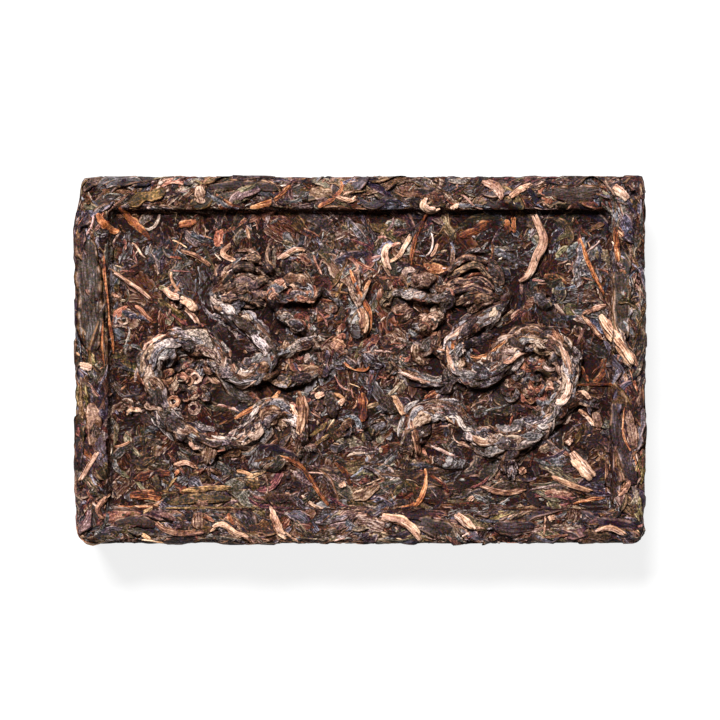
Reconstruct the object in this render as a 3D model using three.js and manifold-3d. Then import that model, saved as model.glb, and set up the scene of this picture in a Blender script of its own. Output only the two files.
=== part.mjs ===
// A pressed tea brick, in millimetres, +Z up, with its origin under its middle on the face it rests on.
// Steamed leaf is pressed in a mould into one solid block: a flat-bottomed slab with a raised rim round a
// sunken panel, and on the panel two dragons in relief that face a flaming pearl. Whole blades and stems
// show in the rim, the panel and the sides.
import * as THREE from "three";
import { mergeVertices } from "three/addons/utils/BufferGeometryUtils.js";
import Module from "manifold-3d";

// The block
const LENGTH = 140; // along X
const WIDTH = 90; // along Y
const RIM_TOP = 24; // height of the rim's flat top
const RIM_WIDTH = 8;
const PANEL_DEPTH = 3.2; // how far the panel lies below the rim
const CORNER_RADIUS = 3.6; // upright corners, seen from above
const PANEL_CORNER_RADIUS = 1;
const EDGE_ROUND = 1.1; // worn edges along the top and the bottom of the sides
const WALL_DRAFT = 0.8; // how far the panel's wall leans out towards its top
const LONG_SIDE_STEPS = 12;
const SHORT_SIDE_STEPS = 8;
const CORNER_STEPS = 4;
const PANEL_TOP = RIM_TOP - PANEL_DEPTH;

// The outline is uneven all round, worn away where push is below 0 and proud where leaf stands out
const OUTLINE_WOBBLE = 0.16;
const RIM_WOBBLE = 0.18;
const EDGE_MARKS = [
  { x: -70, y: 45, reach: 7, push: -1.1 },
  { x: -70, y: 33, reach: 5, push: 0.6 },
  { x: 70, y: -14, reach: 4, push: 0.9 },
  { x: 70, y: 9, reach: 5, push: 0.5 },
];

// A dragon's spine is a chain of arcs from the nape on, each with its turn in degrees, left turns positive
const SPINE_START = { x: 22.7, y: 14.3, heading: 36 };
const SPINE_ARCS = [
  { part: "nape", length: 11, turn: -25 },
  { part: "hook behind the mane", length: 8.4, turn: -162 },
  { part: "neck", length: 13.4, turn: 15 },
  { part: "chest", length: 13.3, turn: 143 },
  { part: "shoulder", length: 9.4, turn: 54 },
  { part: "top of the loop", length: 22, turn: -153 },
  { part: "flank", length: 27.8, turn: -89 },
  { part: "belly", length: 10.3, turn: -57 },
  { part: "tail", length: 18.2, turn: 171 },
];
const SPINE_STEP = 1.6; // between the points of the curve that the body follows
const BODY = { halfWidth: 3.1, rise: 4, sides: 8, steps: 42 };
const TAIL_FROM = 0.8; // share of the spine where the body starts to thin out
const TAIL_TIP = 0.55; // share of its width that the tail keeps at its end

// The strokes of a dragon's head, each with the points that it runs through
const MUZZLE = { path: [[20.4, 15.4], [14.6, 15.2], [11.2, 16.8], [8.6, 16.4]], halfWidth: 1.7, rise: 3.8 };
const JAW = { path: [[20.8, 13], [19.4, 10.4], [15.4, 8.2]], halfWidth: 1.6, rise: 3.6 };
const NOSE_CURL = { path: [[8.8, 16.6], [6.4, 15.6], [5.4, 13.6], [7.2, 12.6]], halfWidth: 0.7, rise: 2.2 };
const WHISKER = { path: [[11, 17.4], [12.3, 19.8], [14.4, 22.6]], halfWidth: 0.7, rise: 2.4 };
const FRONT_HORN = { path: [[21.6, 20.6], [23, 25], [22.2, 28.8]], halfWidth: 0.85, rise: 2.6 };
const BACK_HORN = { path: [[24, 23], [27.2, 26.8], [31, 26.6]], halfWidth: 0.85, rise: 2.6 };
const HEAD_STROKES = [MUZZLE, JAW, NOSE_CURL, WHISKER, FRONT_HORN, BACK_HORN];
const HEAD_LUMPS = [
  { part: "brow", x: 21.4, y: 15.8, halfWidth: 2.6, halfHeight: 3.2, rise: 4 },
  { part: "eye", x: 19.8, y: 17.6, halfWidth: 1.3, halfHeight: 1.2, rise: 4.2 },
  { part: "snout", x: 15.4, y: 19.2, halfWidth: 3, halfHeight: 2.3, rise: 3.6 },
  { part: "chin", x: 15.6, y: 8.4, halfWidth: 2.2, halfHeight: 1.8, rise: 3.8 },
  { part: "mound under the mane", x: 29, y: 17.2, halfWidth: 7.6, halfHeight: 4.6, rise: 3 },
];

const LUMP_SHAPE = { sides: 8, steps: 6 };

// The mane's strands start on a line down the back of the head and arch over to a line behind the neck
const MANE = { strands: 6, halfWidth: 0.82, rise: 4.2 };
const MANE_TOP = { from: [19.6, 20.2], to: [36.6, 19], arch: 5.6 };
const MANE_LOW = { from: [24.4, 12.8], to: [33.8, 15.4], arch: 1 };

// Legs end in toes that fan out at these headings
const LEG = { halfWidth: 1.5, rise: 2.8 };
const TOE = { halfWidth: 0.65, rise: 1.8, length: 3.6, sides: 4, steps: 4 };
const LEGS = [
  { part: "foreleg", path: [[22.7, -4.4], [19.8, -6], [14.9, -4.8], [9.4, -2.6]], toes: [125, 165, 205] },
  { part: "raised foreleg", path: [[21, 2], [16.1, 3.2], [12, 4.2]], toes: [115, 165, 215] },
  { part: "side leg", path: [[48.3, -12], [52.4, -10], [55.8, -11]], toes: [25, -20, -65] },
  { part: "hind leg", path: [[37.2, -21], [36.8, -24.2], [37.6, -26]], toes: [-140, -95, -45] },
  { part: "tail tuft", path: [[15.4, -16.8], [14.2, -18.8], [13.4, -21]], toes: [-150, -105, -60] },
];

// Cloud curls are spirals that close towards their middle
const CURL = { halfWidth: 0.65, rise: 2, turns: 1.3, closing: 0.75, points: 12, sides: 4, steps: 10 };
const CURLS = [
  { x: 39.4, y: -2.2, radius: 2.3 },
  { x: 44, y: -4.2, radius: 2.3 },
  { x: 38.4, y: -8.6, radius: 2.1 },
  { x: 43.4, y: -9.2, radius: 2.1 },
  { x: 45.4, y: 14.2, radius: 2.6 },
  { x: 3.4, y: -0.4, radius: 2.4 },
  { x: 3.8, y: -17.2, radius: 2.5 },
  { x: 6.8, y: -11.6, radius: 2.1 },
];
const CLOUD_PLATE = { path: [[16.1, -24.4], [21.8, -25.7], [27.6, -26]], halfWidth: 1.8, rise: 2 };

// The pearl, and its flame as tongues that lean apart
const PEARL = { x: -0.4, y: 9.3, halfWidth: 3.2, halfHeight: 4.4, rise: 2.8 };
const FLAME = { halfWidth: 0.75, rise: 1.8, leans: [-1, 0, 1], spread: 3, height: 9, outerHeight: 6.8 };

// Loose blades that were pressed into the faces
const BLADE_RISE = 0.75; // from its widest line, which is sunk in the face
const BLADE_SINK = 0.2;
const BLADE_LENGTH = [9, 17];
const BLADE_HALF_WIDTH = [0.9, 2];
const BLADE_BEND = 2.2;
const BLADE_SHAPE = { sides: 4, steps: 4 };
const PANEL_BLADES = 32;
const RIM_BLADES = { long: 9, short: 5, slant: 32, length: [7, 13], offset: 1 };
const SIDE_BLADES = { long: 5, short: 3, rows: 2, slant: 28 };
const SEED = 11;

// Large stems that lie in plain view
const PANEL_STEMS = [
  { path: [[42.9, 35.4], [45.3, 29.5], [43.6, 25.8], [41.6, 20.9], [38, 18.9]], halfWidth: 1.1, rise: 1.4 },
  { path: [[52.7, -23.3], [54.4, -26.5], [56.9, -29]], halfWidth: 1.6, rise: 1 },
  { path: [[-62, 22.6], [-57.9, 19.7], [-50.5, 14]], halfWidth: 0.6, rise: 1 },
  { path: [[-48, 17.2], [-44.3, 15], [-39.9, 11.8]], halfWidth: 1.3, rise: 2 },
];
const RIM_STEMS = [
  { path: [[62.6, 6.4], [65.7, 1.2], [68.4, -3.4]], halfWidth: 1.4, rise: 1 },
  { path: [[61.8, 43], [64.3, 41], [65.7, 39.3]], halfWidth: 1.2, rise: 0.8 },
  { path: [[-21.6, -37.6], [-19.8, -41], [-17.6, -43.6]], halfWidth: 1.2, rise: 0.8 },
  { path: [[3.6, -38.1], [9.7, -39.3], [14.2, -43.4]], halfWidth: 1.4, rise: 0.8 },
  { path: [[23.2, -37.6], [28.1, -41.8]], halfWidth: 1.1, rise: 0.8 },
];

const UP = new THREE.Vector3(0, 0, 1);
const { degToRad, lerp } = THREE.MathUtils;
const heading = (degrees) => new THREE.Vector2(Math.cos(degToRad(degrees)), Math.sin(degToRad(degrees)));

// A repeatable stream of numbers from 0 to 1
function seededStream(seed) {
  let state = seed;
  return () => {
    state = (state + 0x6d2b79f5) | 0;
    let mixed = Math.imul(state ^ (state >>> 15), state | 1);
    mixed ^= mixed + Math.imul(mixed ^ (mixed >>> 7), mixed | 61);
    return ((mixed ^ (mixed >>> 14)) >>> 0) / 2 ** 32;
  };
}
const draw = seededStream(SEED);
const between = (low, high) => lerp(low, high, draw());

// The block's outline moved in by inset, anticlockwise, as points with their outward directions
function outline(inset) {
  const radius = Math.max(CORNER_RADIUS - inset, PANEL_CORNER_RADIUS);
  const reach = new THREE.Vector2(LENGTH / 2 - inset - radius, WIDTH / 2 - inset - radius);
  const quarters = [[1, 1], [-1, 1], [-1, -1], [1, -1]];
  const corners = quarters.map((signs) => new THREE.Vector2(...signs).multiply(reach));
  const stations = [];
  corners.forEach((corner, quarter) => {
    for (let step = 0; step < CORNER_STEPS; step++) {
      const normal = heading(90 * (quarter + step / CORNER_STEPS));
      stations.push({ point: corner.clone().addScaledVector(normal, radius), normal });
    }
    const normal = heading(90 * (quarter + 1));
    const from = corner.clone().addScaledVector(normal, radius);
    const to = corners[(quarter + 1) % corners.length].clone().addScaledVector(normal, radius);
    const steps = quarter % 2 ? SHORT_SIDE_STEPS : LONG_SIDE_STEPS;
    for (let step = 0; step < steps; step++) {
      stations.push({ point: from.clone().lerp(to, step / steps), normal });
    }
  });
  return stations;
}

// A slow wave over the block, between about -2 and 2
function wave(x, y, z) {
  return Math.sin(0.31 * x + 0.23 * y + 0.2 * z) + Math.sin(0.47 * y - 0.13 * x + 0.33 * z);
}

// How far the pressed leaf pushes the outline out at a point of the sides
function outlinePush({ x, y }, z) {
  let push = OUTLINE_WOBBLE * wave(x, y, z);
  for (const mark of EDGE_MARKS) {
    const distance = Math.hypot(x - mark.x, y - mark.y) / mark.reach;
    push += mark.push * Math.exp(-distance * distance);
  }
  return push;
}

// The slab with its rim: a lathe profile whose circles are stretched to the block's outline
function slab() {
  const middle = LENGTH / 2;
  const profile = [
    { inset: middle, z: 0 },
    { inset: EDGE_ROUND, z: 0 },
    { inset: 0, z: EDGE_ROUND },
    { inset: 0, z: RIM_TOP / 2 },
    { inset: 0, z: RIM_TOP - EDGE_ROUND },
    { inset: EDGE_ROUND, z: RIM_TOP },
    { inset: RIM_WIDTH - WALL_DRAFT, z: RIM_TOP },
    { inset: RIM_WIDTH, z: RIM_TOP - WALL_DRAFT },
    { inset: RIM_WIDTH + WALL_DRAFT, z: PANEL_TOP },
    { inset: middle, z: PANEL_TOP },
  ];
  const rings = profile.map(({ inset }) => outline(inset));
  const around = rings[0].length;
  const section = profile.map(({ inset, z }) => new THREE.Vector2(middle - inset, z));
  const geometry = new THREE.LatheGeometry(section, around);
  const position = geometry.getAttribute("position");
  for (let index = 0; index < position.count; index++) {
    const ring = index % profile.length;
    const { inset, z } = profile[ring];
    if (inset === middle) {
      position.setXYZ(index, 0, 0, z);
      continue;
    }
    const { point, normal } = rings[ring][Math.floor(index / profile.length) % around];
    const push = inset <= EDGE_ROUND ? outlinePush(point, z) : 0;
    const lift = z === RIM_TOP ? RIM_WOBBLE * wave(point.y, point.x, z) : 0;
    position.setXYZ(index, point.x + push * normal.x, point.y + push * normal.y, z + lift);
  }
  return geometry;
}

// A strand along a curve: a ball drawn out along it, half of it out of the face and half sunk in
function strand(curve, { halfWidth, rise, sides = 6, steps = 7, up = UP, thin = () => 1 }) {
  const geometry = new THREE.SphereGeometry(1, sides, steps);
  const position = geometry.getAttribute("position");
  const share = geometry.getAttribute("uv");
  for (let index = 0; index < position.count; index++) {
    const along = share.getY(index);
    const across = Math.hypot(position.getX(index), position.getZ(index));
    const girth = across > 1e-6 ? (thin(along) * Math.sqrt(Math.sin(Math.PI * along))) / across : 0;
    const point = curve.getPointAt(along);
    const aside = curve.getTangentAt(along).cross(up).normalize();
    point.addScaledVector(aside, position.getX(index) * girth * halfWidth);
    point.addScaledVector(up, position.getZ(index) * girth * rise);
    position.setXYZ(index, point.x, point.y, point.z);
  }
  return geometry;
}

// A smooth curve through points [x, y] at one height, mirrored in X where side is -1
function pathAt(points, z, side = 1) {
  return new THREE.CatmullRomCurve3(points.map(([x, y]) => new THREE.Vector3(side * x, y, z)));
}

// A rounded lump that stands out of the panel
function lump({ x, y, halfWidth, halfHeight, rise }, side = 1) {
  const geometry = new THREE.SphereGeometry(1, LUMP_SHAPE.sides, LUMP_SHAPE.steps);
  geometry.scale(halfWidth, halfHeight, rise);
  return geometry.translate(side * x, y, PANEL_TOP);
}

// The points of a dragon's spine, stepped along its arcs
function spinePoints() {
  let { x, y, heading: degrees } = SPINE_START;
  const points = [[x, y]];
  for (const { length, turn } of SPINE_ARCS) {
    const steps = Math.ceil(length / SPINE_STEP);
    for (let step = 0; step < steps; step++) {
      const direction = heading(degrees + turn / steps / 2);
      x += (direction.x * length) / steps;
      y += (direction.y * length) / steps;
      degrees += turn / steps;
      points.push([x, y]);
    }
  }
  return points;
}

function body(side) {
  const tail = (along) => Math.max(0, (along - TAIL_FROM) / (1 - TAIL_FROM));
  const thin = (along) => lerp(1, TAIL_TIP, tail(along));
  return strand(pathAt(spinePoints(), PANEL_TOP, side), { ...BODY, thin });
}

function head(side) {
  const strokes = HEAD_STROKES.map((stroke) => strand(pathAt(stroke.path, PANEL_TOP, side), stroke));
  return [...strokes, ...HEAD_LUMPS.map((shape) => lump(shape, side))];
}

function mane(side) {
  const strands = [];
  for (let count = 0; count < MANE.strands; count++) {
    const share = count / (MANE.strands - 1);
    const from = MANE_TOP.from.map((value, axis) => lerp(value, MANE_LOW.from[axis], share));
    const to = MANE_TOP.to.map((value, axis) => lerp(value, MANE_LOW.to[axis], share));
    const top = [(from[0] + to[0]) / 2, (from[1] + to[1]) / 2 + lerp(MANE_TOP.arch, MANE_LOW.arch, share)];
    strands.push(strand(pathAt([from, top, to], PANEL_TOP, side), MANE));
  }
  return strands;
}

function legs(side) {
  return LEGS.flatMap(({ path, toes }) => {
    const [footX, footY] = path.at(-1);
    const claws = toes.map((degrees) => {
      const tip = heading(degrees).multiplyScalar(TOE.length);
      const claw = [[footX, footY], [footX + tip.x, footY + tip.y]];
      return strand(pathAt(claw, PANEL_TOP, side), TOE);
    });
    return [strand(pathAt(path, PANEL_TOP, side), LEG), ...claws];
  });
}

function clouds(side) {
  const curls = CURLS.map(({ x, y, radius }) => {
    const points = [];
    for (let step = 0; step <= CURL.points; step++) {
      const share = step / CURL.points;
      const spoke = heading(360 * CURL.turns * share).multiplyScalar(radius * (1 - CURL.closing * share));
      points.push([x + spoke.x, y + spoke.y]);
    }
    return strand(pathAt(points, PANEL_TOP, side), CURL);
  });
  return [...curls, strand(pathAt(CLOUD_PLATE.path, PANEL_TOP, side), CLOUD_PLATE)];
}

function pearlAndFlame() {
  const root = PEARL.y + PEARL.halfHeight;
  const tongues = FLAME.leans.map((lean) => {
    const height = lean ? FLAME.outerHeight : FLAME.height;
    const tip = [PEARL.x + lean * FLAME.spread, root + height];
    const middle = [PEARL.x + lean * FLAME.spread * 0.6, root + height / 2];
    return strand(pathAt([[PEARL.x, root - 1], middle, tip], PANEL_TOP), FLAME);
  });
  return [lump(PEARL), ...tongues];
}

// A loose blade that lies in a face: along and up are directions, its middle bends to one side
function blade(centre, along, up, length) {
  const bend = new THREE.Vector3().crossVectors(up, along).multiplyScalar(between(-BLADE_BEND, BLADE_BEND));
  const middle = centre.clone().addScaledVector(up, -BLADE_SINK);
  const ends = [-length / 2, length / 2].map((reach) => middle.clone().addScaledVector(along, reach));
  const curve = new THREE.QuadraticBezierCurve3(ends[0], middle.clone().add(bend), ends[1]);
  const halfWidth = between(...BLADE_HALF_WIDTH);
  return strand(curve, { ...BLADE_SHAPE, up, halfWidth, rise: BLADE_RISE });
}

// Blades on the panel are spread evenly, by steps along each axis that never repeat
function panelBlades() {
  const stepX = 0.7548776662;
  const stepY = 0.5698402911;
  const spanX = LENGTH - 2 * RIM_WIDTH;
  const spanY = WIDTH - 2 * RIM_WIDTH;
  const blades = [];
  for (let count = 1; count <= PANEL_BLADES; count++) {
    const x = (((count * stepX) % 1) - 0.5) * spanX;
    const y = (((count * stepY) % 1) - 0.5) * spanY;
    const along = heading(between(0, 180));
    const centre = new THREE.Vector3(x, y, PANEL_TOP);
    blades.push(blade(centre, new THREE.Vector3(along.x, along.y, 0), UP, between(...BLADE_LENGTH)));
  }
  return blades;
}

// The four sides of the block, each with its direction, its outward face and its length
function blockSides() {
  return [0, 1, 2, 3].map((quarter) => {
    const out = heading(90 * quarter);
    const along = heading(90 * quarter + 90);
    const long = quarter % 2 === 1;
    return {
      out: new THREE.Vector3(out.x, out.y, 0),
      along: new THREE.Vector3(along.x, along.y, 0),
      reach: (long ? WIDTH : LENGTH) / 2,
      span: long ? LENGTH : WIDTH,
      size: long ? "long" : "short",
    };
  });
}

// Blades on the rim run mostly along it, and stay on its flat top
function rimBlades() {
  return blockSides().flatMap(({ out, along, reach, span, size }) => {
    const blades = [];
    for (let count = 0; count < RIM_BLADES[size]; count++) {
      const place = ((count + 0.5) / RIM_BLADES[size] - 0.5) * (span - RIM_WIDTH);
      const centre = along.clone().multiplyScalar(place);
      const aside = between(-RIM_BLADES.offset, RIM_BLADES.offset);
      centre.addScaledVector(out, reach - RIM_WIDTH / 2 + aside).setZ(RIM_TOP);
      const turned = along.clone().applyAxisAngle(UP, degToRad(between(-RIM_BLADES.slant, RIM_BLADES.slant)));
      blades.push(blade(centre, turned, UP, between(...RIM_BLADES.length)));
    }
    return blades;
  });
}

// Blades in the sides lie in rows, tilted a little from level
function sideBlades() {
  const { rows, slant } = SIDE_BLADES;
  return blockSides().flatMap(({ out, along, reach, span, size }) => {
    const blades = [];
    for (let row = 0; row < rows; row++) {
      for (let count = 0; count < SIDE_BLADES[size]; count++) {
        const share = (count + (row + 0.5) / rows) / SIDE_BLADES[size];
        const place = (share - 0.5) * (span - 2 * RIM_WIDTH);
        const centre = along.clone().multiplyScalar(place).addScaledVector(out, reach);
        centre.setZ((RIM_TOP * (row + between(0.45, 0.65))) / rows);
        const turned = along.clone().applyAxisAngle(out, degToRad(between(-slant, slant)));
        blades.push(blade(centre, turned, out, between(...BLADE_LENGTH)));
      }
    }
    return blades;
  });
}

function shownStems() {
  const onPanel = PANEL_STEMS.map((stem) => strand(pathAt(stem.path, PANEL_TOP), stem));
  const onRim = RIM_STEMS.map((stem) => strand(pathAt(stem.path, RIM_TOP), { ...stem, sides: 4, steps: 5 }));
  return [...onPanel, ...onRim];
}

// Everything is pressed into one solid, and scraps that touch nothing are dropped
const wasm = await Module();
wasm.setup();

function toSolid(geometry) {
  geometry.deleteAttribute("normal");
  geometry.deleteAttribute("uv");
  const merged = mergeVertices(geometry);
  const vertProperties = new Float32Array(merged.getAttribute("position").array);
  const corners = merged.getIndex().array;
  const triVerts = [];
  for (let first = 0; first < corners.length; first += 3) {
    const [a, b, c] = corners.slice(first, first + 3);
    if (a !== b && b !== c && c !== a) {
      triVerts.push(a, b, c);
    }
  }
  return new wasm.Manifold(
    new wasm.Mesh({ numProp: 3, vertProperties, triVerts: new Uint32Array(triVerts) }),
  );
}

function pressed(geometries) {
  const whole = geometries.map(toSolid).reduce((sum, solid) => sum.add(solid));
  const largest = whole.decompose().reduce((best, scrap) => (scrap.volume() > best.volume() ? scrap : best));
  const mesh = largest.getMesh();
  const geometry = new THREE.BufferGeometry();
  geometry.setAttribute("position", new THREE.BufferAttribute(new Float32Array(mesh.vertProperties), 3));
  geometry.setIndex(new THREE.BufferAttribute(new Uint32Array(mesh.triVerts), 1));
  geometry.computeBoundingBox();
  const { min, max } = geometry.boundingBox;
  geometry.translate(-(min.x + max.x) / 2, -(min.y + max.y) / 2, -min.z);
  geometry.computeVertexNormals();
  return geometry;
}

function dragon(side) {
  return [body(side), ...head(side), ...mane(side), ...legs(side), ...clouds(side)];
}

const relief = [...dragon(1), ...dragon(-1), ...pearlAndFlame()];
const leaf = [...panelBlades(), ...rimBlades(), ...sideBlades(), ...shownStems()];
const brick = new THREE.Mesh(
  pressed([slab(), ...relief, ...leaf]),
  new THREE.MeshStandardMaterial({ color: "#4b3a33", roughness: 0.72, metalness: 0 }),
);
brick.name = "tea_brick";

const group = new THREE.Group();
group.name = "pressed_tea_brick";
group.add(brick);

export default group;
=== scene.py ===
"""A pressed tea brick: a core with twin dragons in relief, under the leaf, stems and shreds it is made of."""
import functools
import math
from typing import NamedTuple

import bmesh
import bpy
import numpy as np
from bpy.props import FloatProperty, FloatVectorProperty, IntProperty, PointerProperty
from bpy.types import Operator, Panel, PropertyGroup
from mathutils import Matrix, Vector, noise
from mathutils.bvhtree import BVHTree


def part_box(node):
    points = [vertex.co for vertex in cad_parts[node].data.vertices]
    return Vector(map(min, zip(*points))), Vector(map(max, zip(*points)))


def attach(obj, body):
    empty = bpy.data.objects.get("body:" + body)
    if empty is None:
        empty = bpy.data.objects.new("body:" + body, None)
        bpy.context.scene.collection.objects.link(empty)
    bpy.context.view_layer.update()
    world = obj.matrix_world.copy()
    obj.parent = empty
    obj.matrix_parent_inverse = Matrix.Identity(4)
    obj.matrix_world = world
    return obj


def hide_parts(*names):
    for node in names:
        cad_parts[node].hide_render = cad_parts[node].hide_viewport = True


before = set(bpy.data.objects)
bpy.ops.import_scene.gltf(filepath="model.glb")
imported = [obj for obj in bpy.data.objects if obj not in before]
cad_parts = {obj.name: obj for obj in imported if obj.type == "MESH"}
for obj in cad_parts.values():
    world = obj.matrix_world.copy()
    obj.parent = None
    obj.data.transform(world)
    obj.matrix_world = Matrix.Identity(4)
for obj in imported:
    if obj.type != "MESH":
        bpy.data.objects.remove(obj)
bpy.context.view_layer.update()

bl_info = {
    "name": "Pressed Tea Brick",
    "version": (1, 0, 0),
    "blender": (4, 5, 0),
    "location": "View3D > Sidebar > Tea Brick",
    "description": "Covers the pressed core with leaf, stems and shreds, and lights it on a pale floor",
    "category": "Mesh",
}

MM = 0.001
UP = Vector((0, 0, 1))
DOWN = Vector((0, 0, -1))
NODE = "tea_brick"
BODY = "root"

# The brick's own measures in metres, from its packed box
LOW = np.array(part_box(NODE)[0])
HIGH = np.array(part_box(NODE)[1])
RIM_TOP = HIGH[2] - 1.0 * MM
PANEL_TOP = HIGH[2] - 4.2 * MM
RIM_INNER = np.array([62.0, 37.0]) * MM  # half-size of the sunken panel
RIM_ROLL = 1.2 * MM  # how far down the rim's rounded edges reach
PANEL_UNEVEN = 0.5 * MM  # how far the panel is from level
FOOT_TOP = -25.0 * MM  # below this the panel's leaf lies along the lower wall
BASE_TOP = 0.3 * MM
CORE_BASE = 0.2 * MM  # the core stops this far above the floor, and leaf lies below it

# Shades by place, in mm: as much darker as a dip of that depth
RIM_SHADE = 0.1  # of the long rims and the sides below them
SHORT_RIM_SHADE = 0.4  # of the left and the right rim and the sides below them
PANEL_SHADE = 0.36  # of the panel and the dragons
WALL_PAINTED_SHADOW = 1.45  # painted shadow of the top wall, on the panel below it
WALL_REACH = 9.0 * MM
PANEL_SLOPE = np.array([-0.24, 0.34])  # how much lighter the panel is at its right and its top edge
MIDDLE_LIGHT = 0.4  # how much lighter the leaf between the dragons is
MIDDLE_REACH = 13.0 * MM
CREST_HIGHLIGHT_SHARE = 0.6  # painted highlight on crests is weaker than painted shade in dips
MOST_STANDING = 2.0  # mm, past which a crest or a dip makes no more difference
CORE_PAINTED_SHADE = 0.32  # painted shade and light: tone for each mm of it, on the core
LEAF_PAINTED_SHADE = 0.18  # the same, on leaf

# A dragon's spine is a chain of arcs from the nape on: length in mm and turn in degrees, left turns positive
SPINE_START = (22.7, 14.3, 36.0)
SPINE_ARCS = (
    (11.0, -25), (8.4, -162), (13.4, 15), (13.3, 143), (9.4, 54),
    (22.0, -153), (27.8, -89), (10.3, -57), (18.2, 171),
)
SPINE_STEP = 0.5  # mm
NAPE = 16.0  # mm of the spine that the mane covers
BODY_HALF_WIDTH = 3.1  # mm
FLANK_PAINTED_SHADE = 0.12  # painted shade: how much darker a strip low on the body's flank is than one on its back

# The lines of a dragon's mane, rope by rope from the crown down, in mm
MANE_LINES = (
    ((21.6, 21.6), (24.4, 24.6), (27.9, 25.3), (31.0, 24.2)),
    ((21.4, 19.9), (25.4, 22.4), (29.1, 22.9), (31.8, 20.9), (34.0, 18.6)),
    ((21.2, 18.6), (24.0, 19.8), (25.9, 18.7), (27.9, 20.3), (30.3, 19.6), (33.5, 17.5)),
    ((22.6, 16.4), (25.4, 17.0), (27.9, 18.3), (29.9, 17.3), (33.0, 16.4)),
    ((23.3, 13.6), (25.9, 14.8), (28.9, 16.0), (31.8, 15.2), (34.6, 15.2)),
    ((31.2, 24.8), (34.4, 22.2), (35.0, 18.2)),
)
ROPE_HALF_WIDTH = 1.05
LUMP_HALF_WIDTH = 1.3  # of the left dragon's

# The lines of its head, each with its half-width, in mm
HEAD_LINES = (
    (((21.2, 16.2), (19.0, 15.2), (17.0, 15.6)), 1.3),
    (((17.6, 15.0), (15.2, 16.4), (13.0, 15.6)), 1.1),
    (((13.8, 17.2), (11.8, 15.6), (10.0, 16.6)), 1.1),
    (((11.0, 15.6), (9.2, 16.8), (7.4, 15.6)), 1.2),
    (((7.8, 15.8), (6.0, 14.8), (5.2, 13.2)), 0.5),
    (((22.2, 18.8), (20.2, 17.4), (18.6, 18.0)), 1.4),
    (((22.6, 15.6), (20.6, 13.6), (20.8, 11.6)), 1.4),
    (((21.0, 12.6), (18.8, 12.4), (17.4, 11.2)), 1.3),
    (((19.6, 10.6), (17.6, 10.6), (16.6, 8.8)), 1.3),
    (((17.6, 9.2), (15.6, 8.8), (13.8, 7.0)), 1.5),
    (((15.4, 6.8), (14.2, 8.4), (12.8, 8.2)), 1.0),
    (((11.4, 14.2), (9.6, 12.8), (7.6, 13.0)), 1.1),
    (((13.2, 12.4), (11.2, 11.6), (9.6, 11.8)), 0.9),
    (((11.0, 17.4), (12.3, 19.8), (14.4, 22.6)), 0.5),
    (((21.6, 20.6), (23.0, 25.0), (22.2, 28.8)), 0.5),
    (((24.0, 23.0), (27.2, 26.8), (31.0, 26.6)), 0.5),
)
SNOUT_LEAF = ((18.8, 20.4), (15.4, 20.0), (12.2, 18.4))
SNOUT_HALF_WIDTH = 1.7

# Its legs in mm, each with the headings of its toes in degrees
LEGS = (
    (((22.7, -4.4), (19.8, -6.0), (14.9, -4.8), (9.4, -2.6)), (125, 165, 205)),
    (((21.0, 2.0), (16.1, 3.2), (12.0, 4.2)), (115, 165, 215)),
    (((48.3, -12.0), (52.4, -10.0), (55.8, -11.0)), (25, -20, -65)),
    (((37.2, -21.0), (36.8, -24.2), (37.6, -26.0)), (-140, -95, -45)),
    (((15.4, -16.8), (14.2, -18.8), (13.4, -21.0)), (-150, -105, -60)),
)
LEG_STRANDS = 4
LEG_HALF_WIDTH = 0.5
LEG_SPREAD = 0.7
LEG_LEAVES = 4
CROSSING_HALF_WIDTH = (0.9, 1.9)
TOE_LENGTH = 3.0
TOE_HALF_WIDTH = 0.4

# The rolled leaf in the left dragon's loop: the middle of each ring and its radius, in mm
CURLS = (
    (37.2, -1.8, 1.4), (46.6, -6.0, 1.3), (40.6, -4.4, 1.6), (41.2, -8.2, 1.7), (46.2, -10.4, 1.6),
    (41.0, -12.0, 1.5),
)
CURL_TURNS = 1.1
CURL_CLOSING = 0.15
CURL_HALF_WIDTH = 0.85

# The clusters of small hooked leaf: which dragons have them, their middle and reach in mm, and their number
BOTH, RIGHT, LEFT = (1, -1), (1,), (-1,)
KNOTS = (
    {"sides": RIGHT, "middle": (42.6, -5.0), "reach": (6.2, 7.0), "number": 60},
    {"sides": LEFT, "middle": (42.6, -5.0), "reach": (6.2, 7.0), "number": 22},
    {"sides": BOTH, "middle": (14.0, 18.4), "reach": (5.4, 2.6), "number": 14},
    {"sides": BOTH, "middle": (20.2, 15.6), "reach": (1.8, 3.4), "number": 7},
    {"sides": BOTH, "middle": (15.8, 8.2), "reach": (3.0, 2.2), "number": 10},
    {"sides": BOTH, "middle": (9.2, 12.8), "reach": (2.6, 1.6), "number": 7},
    {"sides": BOTH, "middle": (4.6, 2.6), "reach": (3.4, 3.0), "number": 8},
    {"sides": BOTH, "middle": (13.0, 1.0), "reach": (4.0, 2.4), "number": 8},
)
KNOT_HALF_WIDTH = 0.9

# The flame behind the pearl, in mm
FLAME_LINES = (
    ((-0.4, 12.7), (-2.2, 17.1), (-3.4, 20.5)),
    ((-0.4, 12.7), (-0.4, 18.2), (-0.4, 22.7)),
    ((-0.4, 12.7), (1.4, 17.1), (2.6, 20.5)),
)
FLAME_HALF_WIDTH = 0.55
FLAME_TONES = (0.3, 0.7)

# Leaf lying across the middle and behind the right dragon's neck, in mm
OVERLAID_LEAVES = (
    ((-6.4, 2.2), (-3.8, 0.0), (-1.0, -2.0)),
    ((0.4, 1.6), (2.8, -0.5), (5.8, -1.6)),
    ((-8.2, -8.0), (-6.8, -11.1), (-6.2, -14.4)),
    ((-6.4, -19.2), (-4.3, -16.7), (-1.4, -15.0)),
    ((1.6, -19.8), (3.6, -17.2), (6.4, -15.6)),
    ((5.0, -8.4), (6.8, -11.1), (9.6, -13.0)),
    ((43.0, 16.2), (45.4, 14.2), (48.0, 13.4)),
)
OVERLAID_HALF_WIDTH = 1.9
OVERLAID_TONES = (0.1, 0.4)

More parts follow.
